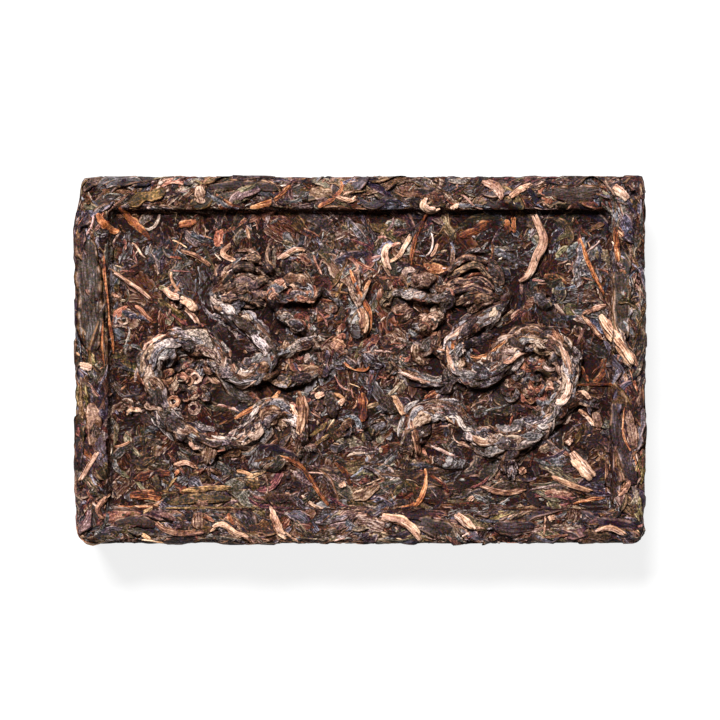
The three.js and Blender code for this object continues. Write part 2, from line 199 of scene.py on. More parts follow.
# Half-widths of the broad and of the narrow strips along a body, in mm
BROAD_STRIP = (1.0, 1.9)
NARROW_STRIP = (0.25, 0.8)

# Chances that a strand of the relief is dark, brown, pale, downy or rust
FACE_MIX = (0.5, 0.35, 0.0, 0.15, 0.0)
LEAF_MIX = (0.36, 0.32, 0.05, 0.27, 0.0)
SNOUT_MIX = (0.7, 0.3, 0.0, 0.0, 0.0)
CURL_MIX = (0.1, 0.6, 0.05, 0.0, 0.25)
KNOT_MIX = (0.4, 0.24, 0.06, 0.0, 0.3)
DARK, BROWN = 0, 1  # their places in a mix

# The relief's strands by place: the limits of their tone, and their mix
HEAD_LOOK = ((0.1, 0.5), FACE_MIX)
SNOUT_LOOK = ((0.3, 0.5), SNOUT_MIX)
LEG_LOOK = ((0.1, 0.75), LEAF_MIX)
CROSSING_LOOK = ((0.05, 0.45), FACE_MIX)
TOE_LOOK = ((0.1, 0.5), LEAF_MIX)
CURL_LOOK = ((0.4, 0.75), CURL_MIX)
KNOT_LOOK = ((0.05, 0.6), KNOT_MIX)
BODY_LOOK = ((0.06, 0.8), LEAF_MIX)

# Large pieces in plain view, in mm: the points they run through, their half-width and their tone
SHOWN_STEMS = (
    (((42.9, 36.0), (45.3, 29.5), (43.6, 25.8), (41.6, 20.9), (38.0, 18.9)), 1.1, 0.42),
    (((58.8, 12.3), (61.8, 7.4), (65.7, 1.2), (68.7, -3.7)), 1.8, 0.44),
    (((54.7, 11.1), (58.0, 12.6), (61.3, 13.5)), 0.7, 0.4),
    (((54.7, 11.1), (57.5, 8.0), (60.1, 4.9)), 0.6, 0.35),
    (((51.9, -22.9), (54.6, -26.2), (58.0, -29.6)), 1.6, 0.54),
    (((61.8, 43.0), (64.3, 41.0), (65.7, 39.3)), 1.2, 0.62),
    (((29.9, 44.0), (33.5, 42.3), (35.0, 39.3)), 1.3, 0.5),
    (((36.8, 40.0), (39.6, 42.0), (42.4, 43.2)), 0.8, 0.5),
    (((16.1, 40.0), (15.6, 37.8), (17.6, 36.8), (19.8, 37.2)), 0.9, 0.8),
    (((22.0, 37.1), (24.4, 38.1)), 0.6, 0.75),
    (((-6.3, 40.3), (-2.6, 39.1), (-0.6, 40.3)), 0.6, 0.65),
    (((-62.0, 22.6), (-57.9, 19.7), (-54.2, 17.2), (-50.5, 14.0)), 0.45, 0.5),
    (((-48.4, 17.8), (-46.6, 16.0), (-44.0, 15.4)), 0.9, 0.6),
    (((-44.4, 15.2), (-42.0, 13.8), (-40.0, 11.4)), 1.1, 0.66),
    (((-43.6, 13.0), (-41.6, 11.2), (-39.6, 8.4)), 0.7, 0.4),
    (((7.4, 22.0), (6.4, 24.2), (6.2, 27.2), (8.0, 29.0)), 0.9, 0.62),
    (((6.9, 24.0), (9.4, 25.4), (10.8, 27.6), (12.0, 29.6), (12.6, 31.2)), 0.6, 0.62),
    (((-31.6, 28.7), (-34.0, 26.3), (-30.3, 24.1)), 0.7, 0.5),
    (((51.5, -4.4), (51.2, -7.9), (49.5, -10.3), (47.6, -10.0)), 0.95, 0.75),
    (((-22.2, -36.0), (-19.8, -41.8), (-17.3, -44.0)), 1.1, 0.5),
    (((5.2, -38.4), (11.0, -39.8), (15.4, -44.0)), 1.2, 0.5),
    (((23.2, -37.4), (28.1, -41.8)), 1.0, 0.55),
    (((-15.4, -6.9), (-14.1, -12.3), (-14.9, -19.7)), 1.4, 0.3),
    (((-10.4, -7.9), (-9.6, -9.4)), 1.2, 0.55),
    (((-5.0, -9.8), (-4.0, -11.0)), 1.1, 0.5),
    (((21.3, 3.7), (22.0, 0.0), (23.2, -3.0)), 0.6, 0.55),
    (((-0.2, 13.2), (1.0, 10.4), (0.6, 6.6)), 1.2, 0.4),
    (((-7.2, 4.6), (-5.2, 3.4), (-3.6, 2.0)), 1.5, 0.4),
    (((8.0, -8.6), (9.6, -11.2), (10.8, -13.6)), 0.9, 0.45),
    (((47.8, 6.1), (50.2, 2.5), (52.2, -3.7)), 0.5, 0.45),
    (((45.5, 7.2), (48.6, 3.6), (51.0, -2.0)), 0.4, 0.4),
    (((52.0, -8.6), (55.2, -8.1), (56.9, -9.8)), 0.6, 0.6),
    (((53.9, -12.3), (56.4, -14.3), (58.1, -16.7)), 0.6, 0.55),
    (((-57.8, -13.4), (-56.6, -12.2), (-53.6, -12.6)), 0.6, 0.6),
    (((-46.0, -26.2), (-43.0, -25.4), (-39.6, -27.0)), 0.7, 0.55),
    (((-37.7, -42.3), (-34.0, -40.3), (-30.8, -42.5), (-27.2, -43.5)), 0.8, 0.5),
    (((51.2, -19.6), (52.2, -20.8)), 0.9, 0.5),
    (((46.6, -28.4), (52.0, -30.8), (57.6, -32.6)), 0.7, 0.32),
    (((29.4, -31.4), (36.0, -32.8), (42.8, -31.6)), 0.7, 0.25),
    (((27.0, -33.6), (27.8, -34.8)), 0.9, 0.6),
    (((39.4, -26.4), (40.6, -28.2)), 1.0, 0.5),
    (((38.0, -23.2), (39.4, -24.6)), 0.9, 0.55),
    (((46.8, -38.0), (47.4, -39.6)), 0.9, 0.55),
    (((57.6, -42.2), (61.4, -41.2), (65.4, -43.0)), 0.7, 0.45),
    (((63.2, -33.2), (65.2, -31.2), (66.0, -29.4)), 1.0, 0.35),
    (((12.4, -14.2), (13.6, -18.8), (14.8, -24.0)), 0.8, 0.25),
    (((-64.4, -22.4), (-66.8, -26.4), (-69.0, -30.0)), 0.6, 0.5),
    (((-69.0, -1.2), (-65.6, -2.0)), 1.0, 0.5),
    (((-61.4, -33.0), (-64.4, -36.4), (-62.6, -39.4)), 0.7, 0.25),
    (((-51.0, -38.6), (-48.4, -41.4), (-43.0, -42.6), (-38.0, -42.0)), 0.8, 0.15),
    (((-4.8, -30.2), (-4.0, -31.6)), 0.9, 0.6),
    (((45.6, -37.8), (45.2, -43.4)), 0.35, 0.4),
    (((45.2, -43.6), (49.0, -43.2), (52.0, -43.0)), 0.35, 0.3),
    (((60.8, -23.6), (60.9, -29.0), (60.8, -34.6)), 0.35, 0.25),
    (((-44.4, 27.0), (-40.6, 25.8), (-36.0, 22.6)), 0.6, 0.2),
    (((-20.4, 24.6), (-16.0, 27.2), (-12.6, 27.0)), 0.7, 0.45),
)
SHOWN_RUST = (
    (
        ((-20.4, -23.6), (-16.4, -25.0), (-13.6, -27.2), (-11.4, -30.8), (-9.2, -34.0), (-7.6, -36.2)),
        0.8, 0.34,
    ),
    (((16.1, -26.6), (16.0, -31.0), (14.0, -35.4), (10.0, -36.4)), 0.7, 0.5),
    (((-64.7, 36.1), (-61.8, 32.4), (-59.3, 31.9)), 1.1, 0.46),
    (((-31.2, -14.6), (-25.7, -11.6), (-21.4, -9.6), (-19.6, -7.4)), 0.7, 0.44),
    (((-59.3, 37.6), (-51.5, 29.5)), 1.2, 0.24),
    (((-63.0, 26.0), (-62.2, 12.0), (-60.8, 1.0)), 0.7, 0.36),
    (((-63.6, 14.0), (-63.4, 4.0), (-62.8, -2.0)), 0.5, 0.3),
    (((54.2, 30.4), (57.4, 22.0), (60.4, 16.0)), 0.55, 0.36),
    (((22.6, 4.9), (23.3, 0.0), (24.4, -3.0)), 0.5, 0.44),
    (((26.2, 1.4), (29.0, 0.6), (32.4, 1.8), (36.6, 5.2)), 0.55, 0.4),
    (((17.0, 37.0), (15.0, 33.0), (13.0, 27.0), (12.6, 23.0)), 0.6, 0.22),
    (((-2.6, 22.6), (-0.9, 18.4), (0.6, 14.7), (2.4, 11.1), (2.4, 7.4), (0.4, 4.9)), 0.7, 0.29),
    (((0.2, -8.0), (0.8, -11.0), (0.4, -15.4)), 1.4, 0.19),
    (((-4.6, 0.6), (-2.4, -1.8), (1.6, -2.4), (2.6, 0.4)), 0.5, 0.44),
    (((-27.2, 37.4), (-22.7, 38.6), (-19.8, 40.0), (-16.8, 43.0)), 0.9, 0.44),
    (((-4.8, 44.0), (-4.3, 42.3), (-6.3, 40.0), (-10.4, 37.5)), 0.7, 0.39),
    (((62.8, 33.0), (63.0, 28.0), (63.6, 24.0)), 0.8, 0.28),
    (((24.5, 30.2), (28.5, 32.0), (33.0, 34.2)), 1.6, 0.04),
    (((36.2, 34.8), (36.6, 31.0)), 1.0, 0.18),
    (((37.9, 35.4), (38.1, 31.4)), 0.7, 0.3),
    (((65.0, -11.4), (64.6, -18.4), (66.8, -22.8), (69.0, -28.6)), 0.35, 0.44),
    (((-56.0, -29.6), (-51.6, -28.4), (-46.8, -28.0)), 1.3, 0.02),
    (((-57.0, -33.6), (-52.6, -33.4), (-49.0, -34.2)), 1.4, 0.18),
    (((-60.0, -36.2), (-54.6, -36.4), (-49.4, -36.2)), 0.45, 0.44),
    (((-45.6, -27.4), (-44.8, -28.0)), 0.9, 0.44),
    (((-6.2, -25.4), (-3.6, -27.6), (-2.4, -31.0)), 0.7, 0.08),
    (((-32.4, -37.6), (-32.0, -39.0), (-31.0, -40.6)), 0.6, 0.24),
    (((53.2, -6.2), (60.0, -6.0), (65.0, -6.2)), 0.4, 0.14),
    (((52.8, -0.6), (55.0, -3.0), (56.4, -5.6)), 0.8, 0.24),
    (((57.6, -5.4), (59.8, -3.8), (61.0, 0.4)), 0.9, 0.08),
    (((52.6, -35.6), (56.4, -34.6), (60.6, -34.0)), 0.5, 0.34),
    (((-44.8, 33.2), (-42.6, 33.6), (-40.4, 34.4)), 1.0, 0.34),
)
SHOWN_GOLD = (
    (((-57.0, 38.2), (-52.6, 40.2), (-47.6, 41.8)), 1.9, 0.22),
    (((-44.3, -32.5), (-38.5, -31.8), (-31.6, -31.4)), 0.7, 0.3),
    (((-47.8, -35.2), (-40.4, -34.2), (-31.6, -34.2)), 1.5, 0.14),
    (((-48.0, -32.4), (-46.8, -30.7), (-45.3, -29.0)), 0.5, 0.5),
    (((-53.2, -38.6), (-52.0, -37.1), (-51.0, -36.4)), 0.9, 0.6),
    (((-28.1, -29.0), (-25.7, -28.3), (-23.2, -27.3)), 0.55, 0.5),
    (((-48.3, -36.5), (-41.4, -36.6), (-31.6, -36.4)), 0.35, 0.42),
    (((-56.6, -25.1), (-53.7, -26.0), (-50.7, -24.1)), 1.5, 0.14),
    (((-28.1, -30.0), (-26.4, -30.8), (-24.7, -31.0)), 1.3, 0.18),
    (((-12.4, -19.0), (-10.0, -17.2), (-8.1, -15.4)), 0.7, 0.36),
    (((-7.5, -18.4), (-10.0, -20.1), (-11.2, -21.1)), 0.6, 0.3),
    (((-6.0, 15.6), (-5.0, 17.4), (-4.4, 19.0)), 0.4, 0.5),
    (((10.4, 16.8), (11.6, 18.2), (12.8, 20.2)), 0.4, 0.45),
)
SHOWN_BLADES = (
    (((-67.0, 30.0), (-66.4, 16.0), (-65.6, 2.0)), 3.4, 0.28),
    (((63.6, 22.0), (64.4, 11.0), (63.2, 1.0)), 2.4, 0.23),
    (((47.0, 41.4), (53.0, 40.6), (59.0, 41.6)), 2.6, 0.21),
    (((-37.5, 42.4), (-30.0, 43.0), (-19.0, 42.2)), 1.3, 0.18),
    (((-60.5, -40.5), (-55.0, -39.5), (-50.0, -40.6)), 1.8, 0.18),
    (((33.0, -40.8), (38.0, -41.4), (43.0, -40.8)), 2.2, 0.18),
    (((62.8, -10.0), (63.4, -18.0), (65.4, -24.0), (67.6, -31.0)), 2.0, 0.18),
    (((13.0, -39.6), (18.0, -41.0), (23.0, -42.0)), 2.4, 0.24),
    (((-37.4, -8.0), (-33.6, -9.6), (-29.6, -10.0)), 2.6, 0.1),
)
SHOWN_BROWN_BLADES = (
    (((-39.6, 42.8), (-39.2, 40.6), (-38.6, 38.4)), 1.5, 0.7),
    (((-12.5, 41.4), (-9.5, 40.6), (-6.6, 41.0)), 2.2, 0.5),
    (((65.6, -12.0), (66.4, -17.0), (67.4, -22.0)), 1.6, 0.4),
    (((-2.0, -34.0), (2.0, -32.6), (4.6, -30.4)), 1.6, 0.36),
    (((-2.0, -39.4), (2.0, -40.0), (6.0, -41.4)), 2.2, 0.5),
    (((-39.5, -37.4), (-39.5, -41.6)), 2.1, 0.4),
    (((-43.0, -34.4), (-39.0, -36.0), (-35.4, -34.6)), 1.4, 0.35),
    (((-66.2, -10.4), (-65.2, -16.0), (-65.8, -21.4)), 2.0, 0.5),
    (((58.0, -12.8), (59.2, -16.8)), 1.4, 0.42),
)


def heading(degrees):
    """The direction at this angle from +X, in the plane of the brick's face."""
    return np.array([math.cos(math.radians(degrees)), math.sin(math.radians(degrees))])


class TeaSettings(PropertyGroup):
    """Sizes and numbers of the brick's leaf."""

    grain: FloatProperty(
        name="Core grain", description="Voxel size of the pressed core", default=0.36 * MM, unit="LENGTH"
    )
    core_faces: IntProperty(
        name="Core triangles", description="Triangles that the core is thinned to", default=190000, min=1000
    )
    crumb: FloatProperty(
        name="Crumb", description="Height of the fine crumb on the core", default=0.24 * MM, unit="LENGTH"
    )
    blades: IntProperty(name="Blades", description="Broad flat leaves", default=1300, min=0)
    whole_leaves: IntProperty(
        name="Whole leaves", description="Whole leaves of each kind", default=100, min=0
    )
    dark_strands: IntProperty(name="Dark strands", description="Twisted dark leaves", default=620, min=0)
    brown_strands: IntProperty(name="Brown strands", description="Twisted brown leaves", default=520, min=0)
    rust_strands: IntProperty(name="Rust strands", description="Rust-coloured strips", default=290, min=0)
    stems: IntProperty(name="Stems", description="Pale stems besides those in plain view", default=120, min=0)
    body_strips: IntProperty(
        name="Body strips", description="Strips along each dragon's body", default=260, min=0
    )
    shreds: IntProperty(name="Shreds", description="Fine shreds of each kind", default=1000, min=0)
    flakes: IntProperty(name="Flakes", description="Small flat flakes of each kind", default=700, min=0)
    seed: IntProperty(name="Seed", description="Start of the random scatter", default=7)


class StageSettings(PropertyGroup):
    """The floor, the lights and the camera."""

    floor_colour: FloatVectorProperty(
        name="Floor", description="Colour of the floor", subtype="COLOR", size=3, default=(0.12, 0.12, 0.12)
    )
    lens: FloatProperty(name="Lens", description="Focal length", default=120.0, unit="CAMERA")
    distance: FloatProperty(
        name="Distance", description="From the rim to the camera", default=0.59, unit="LENGTH"
    )
    key_power: FloatProperty(name="Key light", description="Power of the soft key light", default=85.0)
    sky: FloatProperty(name="Sky", description="Strength of the light from all sides", default=0.1)


# Materials

def linear(hex_colour):
    """An sRGB hex colour as linear RGBA."""
    channels = [int(hex_colour[i:i + 2], 16) / 255 for i in (1, 3, 5)]
    return [c / 12.92 if c <= 0.04045 else ((c + 0.055) / 1.055) ** 2.4 for c in channels] + [1.0]


def per_metre(size_mm):
    """The texture scale whose features are this many millimetres across."""
    return 1.0 / (size_mm * MM)


# Each kind of leaf in even steps, from its darkest to its palest: the dark end is partly painted shade in
# crevices, the pale end partly painted sheen on ridges
SLATE_TONES = ("#180b06", "#2c1d16", "#433939", "#6d6567", "#aaa09c")
BROWN_TONES = ("#1d0b05", "#412417", "#63463a", "#937665", "#c8ae9d")
OLIVE_TONES = ("#190d06", "#342416", "#554432", "#7e6c54", "#b6a286")
RUSSET_TONES = ("#1e0a07", "#472018", "#744133", "#a5715a", "#d5ac94")
ORANGE_TONES = ("#280f07", "#572a17", "#8c4f2f", "#bb7d52", "#deb08a")
MANE_TONES = ("#140a0a", "#32211e", "#5c4742", "#977660", "#d2ab8c")
GOLDEN_TONES = ("#1c1007", "#3f2c1a", "#6e5337", "#a68158", "#d8b389")
CREAM_TONES = ("#402118", "#805744", "#b0856d", "#d5ae95", "#efd5c0")
DOWNY_TONES = ("#160b09", "#392a27", "#685754", "#9f8c85", "#d7c6bc")

# A leaf's torn edge: its colour, how far it covers the leaf's own, and how much lighter it is
TORN_EDGE = "#a7795c"
TORN_COVER = 0.5
TORN_TONE = 0.45

FLECK_SHIFT = (0.135, 0.03, 0.1)  # how far flecks change red, green and blue, most seen in the darks
FLECK_MIDDLE = (0.0663, 0.015, 0.0508)  # the shift of a fleck that looks neutral
DARKEST = (0.0052, 0.0026, 0.0014)
CAST_LIFT = 0.03  # brightness that a leaf's cast tints besides its own, so that it shows in the darks too

# Noise in the materials, from the size of its features in mm. Specks are coarser than leaf dust is, to show
# in the render. The noise of wrinkles is stretched to their sizes first
SPECKS = {"Scale": per_metre(0.5), "Detail": 4.0, "Roughness": 0.7}
BLOTCHES = {"Scale": per_metre(2.8), "Detail": 3.0, "Roughness": 0.6}
WANDERING = {"Scale": per_metre(6.0), "Detail": 3.0}
SHADING = {"Scale": per_metre(14.0), "Detail": 1.0}
WRINKLES = {"Scale": 1.0, "Detail": 4.0, "Roughness": 0.65, "Distortion": 0.4}
LAYER_WRINKLES = {"Scale": 1.0, "Detail": 4.0, "Roughness": 0.66, "Distortion": 0.5}
PAPER_TOOTH = {"Scale": per_metre(0.8), "Detail": 2.0}

# Tone from noise, as a factor and an offset, or as a factor alone
SPECK_TONE = (3.2, -1.5)
SHADING_TONE = (0.5, -0.22)
CRUMB_TONE = 0.3
BLOTCH_TONE = 0.55
LEAF_DARKENING = 0.25  # what keeps a leaf's middle tone once its blotches are added
CRUMB_SIZE = 1.1  # mm

# The layers of leaf in the pressed face, lowest first: the size of their leaves and their own shift, in mm
LAYERS = ((5.0, 31.0), (7.0, 57.0), (10.0, 83.0))
LAYER_LEAF = (0.7, 0.25, 0.6)  # a leaf's reach along, across and down, as shares of its layer's size
LAYER_BEND = 0.5  # how far leaf wanders, as a share of the same
LAYER_APART = 9  # how far apart two leaves' wrinkles are taken from the noise, as a share of the same
LAYER_WRINKLE_SIZE = (1.5, 0.4, 0.8)  # along, across and down a leaf, in mm
LAYER_OUTLINE = (0.5, 0.75)  # how wrinkles move a leaf's outline, as a factor and an offset
LAYER_TONE = 0.4  # how much leaves differ in tone
LAYER_MIDDLE = 0.44  # the wrinkles' middle level
LAYER_CRINKLE = (2.6, 1.3)  # how strong a leaf's wrinkles are, as a factor on its own draw and an offset

# Ranges of the distance inside a leaf's outline: where it covers, the painted shadow in the dark gap round
# it, and its pale edge
LAYER_COVER = {"From Max": 0.05}
LAYER_PAINTED_SHADOW = {"From Min": -0.16, "From Max": 0.0, "To Min": 1.0, "To Max": 0.3}
LAYER_EDGE = {"From Min": 0.06, "From Max": 0.2, "To Min": 0.3, "To Max": 0.0}

# Ranges of a leaf's own draw that make it brown and russet instead of slate
BROWNED = {"From Min": 0.42, "From Max": 0.6}
REDDENED = {"From Min": 0.9, "From Max": 0.97}

# Ranges across a leaf: its torn border, where blotches tear it, and the painted shadow line below its edge
TORN_BORDER = {"From Min": 0.6, "From Max": 0.82}
TORN_PLACES = {"From Min": 0.43, "From Max": 0.6}
EDGE_PAINTED_SHADOW = {"From Min": 0.8, "From Max": 0.96, "To Max": -1.0}


class Finish(NamedTuple):
    """How one kind of dry leaf looks. Sizes are in mm."""

    name: str
    slot: str
    tones: tuple
    roughness: float
    wrinkle: tuple  # its length and its width
    depth: float  # of the wrinkles
    contrast: float
    speckle: float


FINISHES = {
    # Fermented leaf, pressed flat: near-black to slate grey-brown, with a satin face
    "dark": Finish("dark_fermented_leaf", "dark_leaf", SLATE_TONES, 0.45, (1.9, 0.38), 0.4, 2.1, 1.0),
    # Twisted brown leaf: umber to dun, with a satin face
    "brown": Finish("brown_twisted_leaf", "brown_leaf", BROWN_TONES, 0.48, (1.9, 0.38), 0.4, 2.1, 1.0),
    # Leaf rolled to ropes: near-black and purple-brown, with tan ridges that are partly painted highlight
    "rope": Finish("rolled_rope_leaf", "brown_leaf", MANE_TONES, 0.45, (2.6, 0.42), 0.4, 2.3, 0.8),
    # A whole leaf pressed flat: slate grey-brown and nearly smooth, with faint veins
    "slate": Finish("slate_flat_leaf", "dark_leaf", SLATE_TONES, 0.45, (4.0, 0.5), 0.18, 1.35, 0.85),
    # A whole brown leaf, pressed flat: umber with faint veins and a satin face
    "umber": Finish("umber_flat_leaf", "brown_leaf", BROWN_TONES, 0.5, (3.2, 0.45), 0.3, 1.8, 0.9),
    # Leaf buds with their down on: grey and finely wrinkled, dull
    "downy": Finish("downy_bud_leaf", "brown_leaf", DOWNY_TONES, 0.6, (1.6, 0.32), 0.35, 2.2, 1.0),
    # Coarse half-green leaf: olive brown with pale veins, dull
    "olive": Finish("olive_flat_leaf", "brown_leaf", OLIVE_TONES, 0.55, (2.4, 0.38), 0.35, 1.9, 0.95),
    # Half-ripe leaf: golden olive with fine veins, dry
    "golden": Finish("golden_olive_leaf", "brown_leaf", GOLDEN_TONES, 0.52, (3.0, 0.36), 0.3, 2.0, 0.7),
    # Bark strips and red-brown leaf: rust to ochre, dry
    "rust": Finish("rust_leaf_strip", "rust_leaf", RUSSET_TONES, 0.52, (2.4, 0.3), 0.35, 2.1, 0.75),
    # Bark split off a stem: bright orange brown, dry
    "orange": Finish("orange_bark_strip", "rust_leaf", ORANGE_TONES, 0.5, (4.0, 0.36), 0.35, 2.4, 0.55),
    # Split woody stem: cream wood with brown bark left along it, dry and fibrous
    "stem": Finish("pale_woody_stem", "pale_stem", CREAM_TONES, 0.55, (5.0, 0.36), 0.36, 2.2, 0.5),
}


def add_node(tree, kind, inputs=None, **settings):
    """Adds a node: settings are its properties, and inputs its sockets, each a value, another node's output,
    or a node whose first output is meant."""
    node = tree.nodes.new(kind)
    for name, value in settings.items():
        setattr(node, name, value)
    for name, value in (inputs or {}).items():
        if isinstance(value, bpy.types.Node):
            value = value.outputs[0]
        if isinstance(value, bpy.types.NodeSocket):
            tree.links.new(value, node.inputs[name])
        else:
            node.inputs[name].default_value = value
    return node


def set_ramp(node, tones):
    """Gives a colour ramp these hex colours in even steps."""
    ramp = node.color_ramp
    while len(ramp.elements) < len(tones):
        ramp.elements.new(1.0)
    for step, (element, tone) in enumerate(zip(ramp.elements, tones)):
        element.position = step / (len(tones) - 1)
        element.color = linear(tone)


def new_material(name):
    """An empty node material, the tree to build on and its shader."""
    material = bpy.data.materials.new(name)
    material.use_nodes = True
    tree = material.node_tree
    return material, tree, tree.nodes["Principled BSDF"]


def flecked_colour(add, colour, draws, lift=0.0):
    """A colour less its lift, with small flecks of other casts in it, from blue-grey to russet."""
    shifted = add("ShaderNodeVectorMath", {0: draws, 1: FLECK_SHIFT, 2: colour}, operation="MULTIPLY_ADD")
    middle = tuple(shift + lift for shift in FLECK_MIDDLE)
    centred = add("ShaderNodeVectorMath", {0: shifted, 1: middle}, operation="SUBTRACT")
    return add("ShaderNodeVectorMath", {0: centred, 1: DARKEST}, operation="MAXIMUM").outputs[0]


def pressed_layer(add, place, wander, length_mm, shift_mm):
    """One layer of leaf in the pressed face, each leaf at its own angle: how deep inside a leaf a spot is,
    the wrinkles along that leaf, and the leaf's own random draws."""
    length = length_mm * MM
    bend = (LAYER_BEND * length,) * 3
    apart = (LAYER_APART * length,) * 3
    leaf_scale = [1 / (share * length) for share in LAYER_LEAF]
    wrinkle_scale = [per_metre(size) for size in LAYER_WRINKLE_SIZE]
    stretch, offset = LAYER_OUTLINE
    moved = add("ShaderNodeVectorMath", {0: place, 1: (shift_mm * MM,) * 3}, operation="ADD")
    bent = add("ShaderNodeVectorMath", {0: wander, 1: bend, 2: moved}, operation="MULTIPLY_ADD")
    cells = add("ShaderNodeTexVoronoi", {"Vector": bent, "Scale": 1.0 / length})
    colour = cells.outputs["Color"]
    draws = add("ShaderNodeSeparateColor", {"Color": colour})
    angle = add("ShaderNodeMath", {0: draws.outputs["Red"], 1: 2 * math.pi}, operation="MULTIPLY")
    local = add("ShaderNodeVectorMath", {0: bent, 1: cells.outputs["Position"]}, operation="SUBTRACT")
    turned = add("ShaderNodeVectorRotate", {"Vector": local, "Angle": angle}, rotation_type="Z_AXIS")
    outline = add("ShaderNodeVectorMath", {0: turned, 1: leaf_scale}, operation="MULTIPLY")
    reach = add("ShaderNodeVectorMath", {0: outline}, operation="LENGTH").outputs["Value"]
    own = add("ShaderNodeVectorMath", {0: colour, 1: apart, 2: turned}, operation="MULTIPLY_ADD")
    stretched = add("ShaderNodeVectorMath", {0: own, 1: wrinkle_scale}, operation="MULTIPLY")
    wrinkles = add("ShaderNodeTexNoise", {"Vector": stretched, **LAYER_WRINKLES})
    inside = add("ShaderNodeMath", {0: wrinkles, 1: stretch, 2: offset}, operation="MULTIPLY_ADD")
    depth = add("ShaderNodeMath", {0: inside, 1: reach}, operation="SUBTRACT")
    return depth, wrinkles, draws


def pressed_crumb_material():
    """Leaf pressed to one face: wrinkled leaves over each other with thin pale outlines, crumb in between,
    near-black gaps of painted shadow, painted shade and highlight from the relief, and colours from slate and
    purple-brown to russet."""
    material, tree, shader = new_material("pressed_leaf_mash")
    add = functools.partial(add_node, tree)
    place = add("ShaderNodeTexCoord").outputs["Object"]
    painted_shade_and_tone = add("ShaderNodeAttribute", attribute_name="painted_shade_and_tone").outputs["Fac"]
    wander = add("ShaderNodeTexNoise", {"Vector": place, **WANDERING})
    crumb = add("ShaderNodeTexVoronoi", {"Vector": place, "Scale": per_metre(CRUMB_SIZE)})
    crumb_draws = add("ShaderNodeSeparateColor", {"Color": crumb.outputs["Color"]})
    specks = add("ShaderNodeTexNoise", {"Vector": place, **SPECKS})
    factor, offset = SPECK_TONE
    grain = add("ShaderNodeMath", {0: specks, 1: factor, 2: offset}, operation="MULTIPLY_ADD")
    own_tone, kind = crumb_draws.outputs["Red"], crumb_draws.outputs["Green"]
    value = add("ShaderNodeMath", {0: own_tone, 1: CRUMB_TONE, 2: grain}, operation="MULTIPLY_ADD")
    for length_mm, shift_mm in LAYERS:
        depth, wrinkles, draws = pressed_layer(add, place, wander.outputs["Color"], length_mm, shift_mm)
        cover = add("ShaderNodeMapRange", {"Value": depth, **LAYER_COVER}, clamp=True)
        # Painted shadow that each leaf casts in a dark gap round it, on the layer below
        painted_gap_shadow = add("ShaderNodeMapRange", {"Value": depth, **LAYER_PAINTED_SHADOW}, clamp=True)
        outline = add("ShaderNodeMapRange", {"Value": depth, **LAYER_EDGE}, clamp=True)
        own_crinkle, own_tone, own_kind = (draws.outputs[name] for name in ("Red", "Green", "Blue"))
        tone = add("ShaderNodeMath", {0: own_tone, 1: LAYER_TONE, 2: outline}, operation="MULTIPLY_ADD")
        # Wrinkles set the tone and the bump alike: lighter ridges and darker creases, partly the leaf's own
        # streaks, partly painted sheen and painted shade
        swing = add("ShaderNodeMath", {0: wrinkles, 1: LAYER_MIDDLE}, operation="SUBTRACT")
        factor, offset = LAYER_CRINKLE
        crinkled = add("ShaderNodeMath", {0: own_crinkle, 1: factor, 2: offset}, operation="MULTIPLY_ADD")
        wrinkled = add("ShaderNodeMath", {0: swing, 1: crinkled, 2: tone}, operation="MULTIPLY_ADD")
        below = add("ShaderNodeMath", {0: value, 1: painted_gap_shadow}, operation="MULTIPLY")
        value = add("ShaderNodeMix", {0: cover, 2: below, 3: wrinkled})
        kind = add("ShaderNodeMix", {0: cover, 2: kind, 3: own_kind})
    shading = add("ShaderNodeTexNoise", {"Vector": place, **SHADING})
    factor, offset = SHADING_TONE
    shaded = add("ShaderNodeMath", {0: shading, 1: factor, 2: offset}, operation="MULTIPLY_ADD")
    lit = add("ShaderNodeMath", {0: value, 1: shaded}, operation="ADD")
    # Painted shade in the relief's dips and below the top wall, painted highlight on crests, and tone by
    # place
    worn = add("ShaderNodeMath", {0: painted_shade_and_tone, 1: CORE_PAINTED_SHADE, 2: lit}, operation="MULTIPLY_ADD")
    slate, brown, russet = (add("ShaderNodeValToRGB", {"Fac": worn}) for _ in range(3))
    set_ramp(slate, SLATE_TONES)
    set_ramp(brown, BROWN_TONES)
    set_ramp(russet, RUSSET_TONES)
    browned = add("ShaderNodeMapRange", {"Value": kind, **BROWNED}, clamp=True)
    reddened = add("ShaderNodeMapRange", {"Value": kind, **REDDENED}, clamp=True)
    dark = add("ShaderNodeMix", {0: browned, 6: slate, 7: brown}, data_type="RGBA")
    colour = add("ShaderNodeMix", {0: reddened, 6: dark.outputs[2], 7: russet}, data_type="RGBA")
    flecked = flecked_colour(add, colour.outputs[2], specks.outputs["Color"])
    bump = add("ShaderNodeBump", {"Height": value, "Strength": 1.0, "Distance": 0.4 * MM})
    tree.links.new(flecked, shader.inputs["Base Color"])
    tree.links.new(bump.outputs["Normal"], shader.inputs["Normal"])
    shader.inputs["Roughness"].default_value = 0.75
    shader.inputs["Specular IOR Level"].default_value = 0.08
    return material


